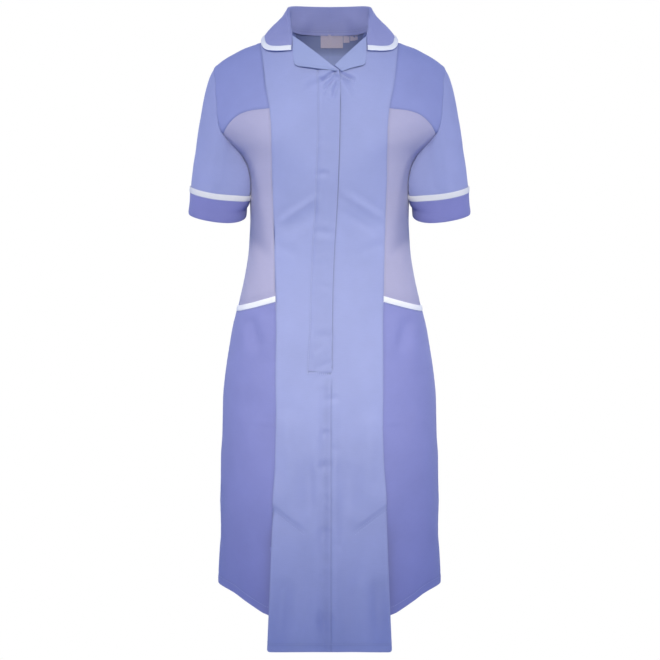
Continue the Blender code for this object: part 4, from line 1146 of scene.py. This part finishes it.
def cut_strip(lines, first, last, rows):
    grid = []
    for line in lines.swapaxes(0, 1):
        length = np.concatenate([[0], np.cumsum(np.linalg.norm(np.diff(line, axis=0), axis=1))])
        at = np.linspace(length[-1] - first, length[-1] - last, rows + 1)
        grid.append([np.interp(at, length, line[:, k]) for k in range(3)])
    return np.array(grid).transpose(2, 0, 1)


def collar_edge(value):
    """The collar's outer edge, which lies just above the shoulders."""
    x = value["edge_x"]
    level = level_of(x, value["edge_z"])
    turn = turn_at(x, level)
    behind = value["back"] > 0
    points = []
    for d_turn, d_level in [(0, 0), (1.0, 0), (0, -1 * MM)]:
        angle = turn + d_turn
        points.append(body(180 - angle if behind else angle, level + d_level))
    normal = np.cross(points[1] - points[0], points[2] - points[0])
    normal *= np.sign(normal @ (points[0] - np.array([0, 0, -0.12])))
    normal /= np.linalg.norm(normal)
    return points[0] + normal * (COLLAR_WALL + COLLAR_LIFT)


def collar_profile(along, steps):
    """The collar's shown face at one place along it: up the stand, over the fold, down to the outer edge."""
    side = np.sign(along) if along else 1
    value = {name: float(COLLAR(name, abs(along))) for name in COLLAR.names}
    seam = np.array([value["seam_x"], value["seam_y"], value["seam_z"] - 1.5 * MM])
    fold = np.array([value["fold_x"], value["fold_y"], value["fold_z"]])
    edge = collar_edge(value)
    outwards = edge - fold
    outwards[2] = 0
    outwards /= np.linalg.norm(outwards)
    up = np.array([0, 0, 1.0])
    inside = fold - outwards * FOLD_RADIUS
    stand = [seam + (inside - seam) * t for t in np.linspace(0, 1, steps[0])]
    bend = [
        fold - outwards * FOLD_RADIUS * math.cos(a) + up * FOLD_RADIUS * math.sin(a)
        for a in np.linspace(0, math.pi, steps[1] + 2)[1:-1]
    ]
    start = fold + outwards * FOLD_RADIUS
    middle = (start + edge) / 2 + (outwards + up) * LEAF_BULGE * (0.4 + 0.6 * min(1, (1 - abs(along)) * 3))
    leaf = [start * (1 - t) ** 2 + middle * 2 * t * (1 - t) + edge * t * t for t in np.linspace(0, 1, steps[2])]
    points = np.array(stand + bend + leaf)
    points[:, 0] *= side
    return points


def make_collar():
    steps = (15, 7, 26)
    stations = np.linspace(-1, 1, 181)
    grid = np.array([collar_profile(s, steps) for s in stations]).transpose(1, 0, 2)
    leaf_share = np.clip((np.arange(sum(steps)) - steps[0] - steps[1]) / steps[2], 0, 1)[:, None]
    normals = grid_normals(grid)
    u, v = lengths(grid)
    along = np.abs(stations)[None, :]
    height = np.zeros(u.shape)
    band, groove_shade = groove(v - STAND_BAND, 1.2, 0.8)
    stand = (v < 0.030) * 1.0
    height += band * stand
    # Painted shade along the stand's stitched groove.
    seam = groove_shade * stand
    dent = hump(along - 0.60, 0.050) * -2.6 + hump(along - 0.70, 0.045) * 1.5 + hump(along - 0.80, 0.04) * -1.3
    dent = dent + hump(along - 0.45, 0.07) * 1.2 + hump(along - 0.20, 0.09) * -0.8
    height += dent * MM * np.sin(math.pi * np.clip(leaf_share * 1.05, 0, 1)) ** 1.0
    ripple = np.sin(stations[None, :] * 19 + 0.8) * 0.5 + np.sin(stations[None, :] * 41 + 2.0) * 0.25
    height += ripple * MM * np.sin(math.pi * np.clip(v / 0.036, 0, 1)) * stand * 1.2
    edge_away = v[-1:] - v
    height += groove(edge_away - PIPING_WIDTH - 0.8 * MM, 1.3, 0.35)[0]
    outer = grid + normals * height[..., None]
    cloth("collar", outer, seam, "collar", 1.8 * MM)
    make_piping("collar_piping", "collar", "t", 0, PIPING_WIDTH, 0.3 * MM)


def resampled(line, count):
    line = np.array(line, float)
    length = np.concatenate([[0], np.cumsum(np.linalg.norm(np.diff(line, axis=0), axis=1))])
    at = np.linspace(0, length[-1], count)
    return np.stack([np.interp(at, length, line[:, k]) for k in range(line.shape[1])], axis=-1)


def make_lapels():
    for name, side in (("right", -1), ("left", 1)):
        low = resampled(LAPEL_EDGE[name], 46)
        high = resampled([(side * LAPEL_TOP[0], LAPEL_TOP[1]), NECK_POINT[name]], 46)
        shares = np.linspace(0, 1, 22)[:, None, None]
        flat = low + (high - low) * shares
        points = front_face(flat[..., 0], level_of(flat[..., 0], flat[..., 1]))
        points[..., 2] = flat[..., 1]
        if side > 0:
            points = points[:, ::-1]
        away = shares[..., 0]
        lift = 0.3 * MM + 2.8 * MM + (1.8 if side < 0 else 0) * MM + 0 * points[..., 0]
        lift = lift + 0.9 * MM * np.sin(math.pi * away) - 0.8 * MM * hump(away, 0.09)
        lifted = points + np.array([0, -0.94, 0.34]) * lift[..., None]
        u, v = lengths(lifted)
        ripple = 0.35 * MM * np.sin(u / 0.0085 + side) * np.sin(math.pi * away)
        lifted = lifted + grid_normals(lifted) * ripple[..., None]
        # Painted shadow along the lapel's lower edge, and a faint darker line 5 mm above it.
        edged = np.maximum(0.4 * hump(v - 5 * MM, 1.2 * MM), 1.8 * hump(v, 0.7 * MM))
        cloth("lapel_" + name, lifted, edged, "lapel", 1.8 * MM)


def stitch_tree():
    """Stitches along lines: a long rounded bead on each step of the line, lying along it."""
    tree = bpy.data.node_groups.new("stitches_along_lines", "GeometryNodeTree")
    face = tree.interface
    face.new_socket("Geometry", in_out="INPUT", socket_type="NodeSocketGeometry")
    for name, value in (("Step", 3.4 * MM), ("Length", 2.5 * MM), ("Radius", 0.24 * MM)):
        face.new_socket(name, in_out="INPUT", socket_type="NodeSocketFloat").default_value = value
    face.new_socket("Thread", in_out="INPUT", socket_type="NodeSocketMaterial")
    face.new_socket("Geometry", in_out="OUTPUT", socket_type="NodeSocketGeometry")
    add, link = tree.nodes.new, tree.links.new
    given = add("NodeGroupInput")
    curve = add("GeometryNodeMeshToCurve")
    steps = add("GeometryNodeCurveToPoints")
    steps.mode = "LENGTH"
    bead = add("GeometryNodeMeshUVSphere")
    bead.inputs["Segments"].default_value = 6
    bead.inputs["Rings"].default_value = 5
    bead.inputs["Radius"].default_value = 1
    along = add("FunctionNodeAlignRotationToVector")
    along.axis = "Z"
    half = add("ShaderNodeMath")
    half.operation = "MULTIPLY"
    half.inputs[1].default_value = 0.5
    size = add("ShaderNodeCombineXYZ")
    placed = add("GeometryNodeInstanceOnPoints")
    real = add("GeometryNodeRealizeInstances")
    smooth = add("GeometryNodeSetShadeSmooth")
    dyed = add("GeometryNodeSetMaterial")
    made = add("NodeGroupOutput")
    link(given.outputs["Geometry"], curve.inputs[0])
    link(curve.outputs[0], steps.inputs["Curve"])
    link(given.outputs["Step"], steps.inputs["Length"])
    link(steps.outputs["Tangent"], along.inputs["Vector"])
    link(given.outputs["Length"], half.inputs[0])
    link(given.outputs["Radius"], size.inputs[0])
    link(given.outputs["Radius"], size.inputs[1])
    link(half.outputs[0], size.inputs[2])
    link(steps.outputs["Points"], placed.inputs["Points"])
    link(bead.outputs["Mesh"], placed.inputs["Instance"])
    link(along.outputs[0], placed.inputs["Rotation"])
    link(size.outputs[0], placed.inputs["Scale"])
    link(placed.outputs[0], real.inputs[0])
    link(real.outputs[0], smooth.inputs[0])
    link(smooth.outputs[0], dyed.inputs["Geometry"])
    link(given.outputs["Thread"], dyed.inputs["Material"])
    link(dyed.outputs[0], made.inputs[0])
    return tree


def stitches(name, lines, slot="cloth", finish="thread", **sizes):
    """Rows of stitches on a piece, from lines of points that lie on its face."""
    places, edges = [], []
    for line in lines:
        start = len(places)
        places.extend(line.tolist())
        edges.extend((start + k, start + k + 1) for k in range(len(line) - 1))
    mesh = bpy.data.meshes.new(name)
    mesh.from_pydata(places, edges, [])
    lined = bpy.data.objects.new(name + "_lines", mesh)
    bpy.context.scene.collection.objects.link(lined)
    modifier = lined.modifiers.new("stitches", "NODES")
    modifier.node_group = STITCHES
    sockets = {s.name: s.identifier for s in STITCHES.interface.items_tree if s.in_out == "INPUT"}
    for key, value in sizes.items():
        modifier[sockets[key]] = value
    modifier[sockets["Thread"]] = FINISHES[finish]
    bpy.context.view_layer.update()
    graph = bpy.context.evaluated_depsgraph_get()
    made = bpy.data.meshes.new_from_object(lined.evaluated_get(graph))
    bpy.data.objects.remove(lined)
    bpy.data.meshes.remove(mesh)
    made.name = name
    if not made.materials:
        made.materials.append(FINISHES[finish])
    piece = bpy.data.objects.new(name, made)
    bpy.context.scene.collection.objects.link(piece)
    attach(piece, "root")
    return piece


def border_stitches(node, border, inset, keep=None, lift=0.15 * MM):
    """A stitch line at one distance from a piece's border, or the part of it that keep allows."""
    points, normals = near_border(node, border, [inset])
    line = points[0] + normals[0] * lift
    if keep is not None:
        line = line[keep(line)]
    return line


def drawn_stitches(node, path, facing=-1, lift=0.15 * MM, step=4 * MM):
    """A stitch line drawn on the front or back of a piece, through points given as (x, z)."""
    shape = SHAPES[node]
    rows, columns = shape["outer"].shape[:2]
    corners = faces_of(rows, columns, True)[: (rows - 1) * (columns - 1)]
    at = corners[..., 0] * columns + corners[..., 1]
    tree = BVHTree.FromPolygons(shape["outer"].reshape(-1, 3).tolist(), at.tolist())
    path = np.array(path, float)
    total = np.linalg.norm(np.diff(path, axis=0), axis=1).sum()
    line = []
    for x, z in resampled(path, max(3, int(total / step))):
        place, normal, _, _ = tree.ray_cast((x, facing * 1.0, z), (0, -facing, 0))
        if place is not None:
            line.append(np.array(place) + np.array(normal) * np.sign(normal[1] * facing) * lift)
    return np.array(line)


def make_stitches():
    made = {}
    placket = []
    for z in np.linspace(-0.088, OPENING_END + 2 * MM, 60):
        x = float(FRONT_SEAMS("edge", z)) - PLACKET_STITCH - 0.004 * float(ramp(-z, 0.50, 0.60))
        placket.append((x, z))
    tack_left, tack_right = placket[-1][0], float(FRONT_SEAMS("edge", OPENING_END)) - 1 * MM
    for side, word in ((1, "left"), (-1, "right")):
        node = "front_centre_" + word
        lines = [border_stitches(node, "b", TURN_UP)]
        for offset in (0, 0.0062):
            path = [(side * 0.0966, -0.8285 - offset), (side * 0.0442, -0.8668 - offset)]
            lines.append(drawn_stitches(node, path))
        if side < 0:
            lines.append(drawn_stitches(node, placket))
            for drop in (0.5 * MM, 2.5 * MM):
                path = [(tack_left, OPENING_END + drop + 1 * MM), (tack_right, OPENING_END + drop - 1 * MM)]
                lines.append(drawn_stitches(node, path))
        made[node] = stitches("stitches_" + node, lines)
        node = "skirt_side_" + word
        lines = [border_stitches(node, "b", TURN_UP), border_stitches(node, "t", PIPING_WIDTH + 1 * MM)]
        made[node] = stitches("stitches_" + node, lines)
        node = "back_" + word
        made[node] = stitches("stitches_" + node, [border_stitches(node, "b", TURN_UP)])
        node = "cuff_" + word
        made[node] = stitches("stitches_" + node, [border_stitches(node, "b", PIPING_WIDTH / 2 + 2 * MM)])
    lines = [border_stitches("collar", "b", STAND_BAND), border_stitches("collar", "t", PIPING_WIDTH + 0.8 * MM)]
    made["collar"] = stitches("stitches_collar", lines)
    lines = []
    for name, (width, drop, start) in LABELS.items():
        points, normals = near_border(name, "t", [1.5 * MM])
        lines.append(points[0] - normals[0] * 0.65 * MM)
    made["neck_label"] = stitches("stitches_labels", lines, Step=2.2 * MM, Length=1.6 * MM, Radius=0.16 * MM)
    return made


# Each sheet's cut before it was sewn: width and length in metres, area in square metres, and the pieces on it
CUTS = {
    "front_centre_left": (0.125, 1.000, 0.1105, []),
    "front_centre_right": (0.125, 1.000, 0.1152, []),
    "front_side": (0.140, 0.560, 0.0687, []),
    "front_yoke": (0.130, 0.170, 0.0158, []),
    "skirt_side": (0.175, 0.560, 0.0867, ["pocket_piping"]),
    "back": (0.270, 1.010, 0.2413, []),
    "pleat": (0.110, 0.180, 0.0163, []),
    "sleeve": (0.440, 0.190, 0.0416, []),
    "cuff": (0.370, 0.046, 0.0160, ["cuff_piping"]),
    "lapel": (0.085, 0.045, 0.0022, []),
}
SINGLE_CUTS = {
    "collar": (0.460, 0.105, 0.0444, ["collar_piping"]),
    "neck_label": (0.041, 0.0245, None, []),
    "size_tab_a": (0.0115, 0.0148, None, []),
    "size_tab_b": (0.0138, 0.0118, None, []),
    "zip_tape": (0.024, 0.460, None, []),
}


def declare_sheets(sewn):
    """Lists every sheet of cloth with the size it was cut to and the pieces on it; nothing more is done with the list.
    """
    rows = []
    for name, (width, length, area, on) in CUTS.items():
        if name.startswith("front_centre"):
            rows.append((name, width, length, area, on))
            continue
        for side in ("_left", "_right"):
            rows.append((name + side, width, length, area, [piece + side for piece in on]))
    rows += [(name, *cut) for name, cut in SINGLE_CUTS.items()]
    for name, width, length, area, on in rows:
        pieces = [SHAPES[piece]["object"] for piece in on]
        if name in sewn:
            pieces.append(sewn[name])


def make_floor():
    """A pale round floor below the dress."""
    turns = np.linspace(0, 2 * math.pi, 97)[:-1]
    ring = [(1.3 * math.cos(t), 1.3 * math.sin(t), -1.9) for t in turns]
    mesh = bpy.data.meshes.new("floor")
    mesh.from_pydata(ring, [], [tuple(range(96))])
    finish = Finish("pale_floor", Roughness=0.9, Emission_Strength=0.8)
    place = finish.node("ShaderNodeTexCoord", {}, output=3)
    mottle = finish.node("ShaderNodeTexNoise", {}, place, Scale=6, Detail=3)
    pale = finish.blend(mottle, (0.80, 0.80, 0.81, 1), (0.84, 0.84, 0.85, 1))
    finish.shows(Base_Color=pale, Emission_Color=finish.blend(mottle, (0.82, 0.79, 0.54, 1), (0.85, 0.82, 0.57, 1)))
    mesh.materials.append(finish.material)
    floor = bpy.data.objects.new("floor", mesh)
    bpy.context.scene.collection.objects.link(floor)


def lamp(name, place, aim, size, power_watts, colour, cone=None):
    """A soft lamp. With a cone in degrees it lights a round patch that fades towards its rim."""
    light = bpy.data.lights.new(name, "SPOT" if cone else "AREA")
    if cone:
        light.spot_size = math.radians(cone)
        light.spot_blend = 1
        light.shadow_soft_size = size[0] / 2
    else:
        light.shape = "RECTANGLE"
        light.size, light.size_y = size
    light.energy = power_watts
    light.color = colour
    made = bpy.data.objects.new(name, light)
    bpy.context.scene.collection.objects.link(made)
    way = np.array(aim, float) - np.array(place, float)
    flat = math.hypot(way[0], way[1])
    made.location = place
    made.rotation_euler = (math.atan2(flat, -way[2]), 0, math.atan2(way[1], way[0]) - math.pi / 2)
    made.visible_camera = False


# Lamps: name, place, the point each looks at, width and height, power in watts, colour, and a spot's cone
LAMPS = [
    ("front_low", (0.0, -2.95, 0.85), (0, 0, -0.72), (0.7, 0.7), 560, (1, 0.94, 0.70), 14),
    ("front_high", (0.0, -2.95, 0.85), (0, 0, -0.14), (0.7, 0.7), 300, (1, 0.96, 0.72), 19),
    ("side_left", (-2.8, 0.2, 0.9), (0, 0, -0.40), (0.9, 0.9), 150, (1, 0.95, 0.80), 32),
    ("side_right", (2.8, 0.2, 0.9), (0, 0, -0.40), (0.9, 0.9), 150, (1, 0.95, 0.80), 32),
    ("behind", (0.0, 2.9, 0.90), (0, 0, -0.40), (0.9, 0.9), 350, (1, 0.95, 0.75), 36),
]


def make_light():
    for row in LAMPS:
        lamp(*row)
    world = bpy.data.worlds.new("pale_room")
    bpy.context.scene.world = world
    world.use_nodes = True
    nodes, links = world.node_tree.nodes, world.node_tree.links
    nodes.clear()
    out = nodes.new("ShaderNodeOutputWorld")
    mix = nodes.new("ShaderNodeMixShader")
    soft = nodes.new("ShaderNodeBackground")
    soft.inputs["Color"].default_value = (0.22, 0.38, 1.0, 1)
    soft.inputs["Strength"].default_value = 0.50
    plain = nodes.new("ShaderNodeBackground")
    plain.inputs["Color"].default_value = (1, 1, 1, 1)
    plain.inputs["Strength"].default_value = 1.0
    path = nodes.new("ShaderNodeLightPath")
    links.new(path.outputs["Is Camera Ray"], mix.inputs[0])
    links.new(soft.outputs[0], mix.inputs[1])
    links.new(plain.outputs[0], mix.inputs[2])
    links.new(mix.outputs[0], out.inputs["Surface"])


def make_camera():
    lens = bpy.data.cameras.new("camera")
    lens.lens = 77.72
    lens.sensor_width = 36
    lens.shift_x = 0.00076
    lens.shift_y = -0.03
    camera = bpy.data.objects.new("camera", lens)
    bpy.context.scene.collection.objects.link(camera)
    camera.location = (0, -2.5389, -0.377)
    camera.rotation_euler = (math.radians(90) - 0.0471, 0, 0)
    bpy.context.scene.camera = camera


bpy.context.scene.view_settings.view_transform = "Standard"
make_centre_fronts()
make_side_fronts()
make_backs()
make_labels()
make_pleats()
make_sleeves()
make_collar()
make_lapels()
STITCHES = stitch_tree()
declare_sheets(make_stitches())
make_floor()
make_light()
make_camera()
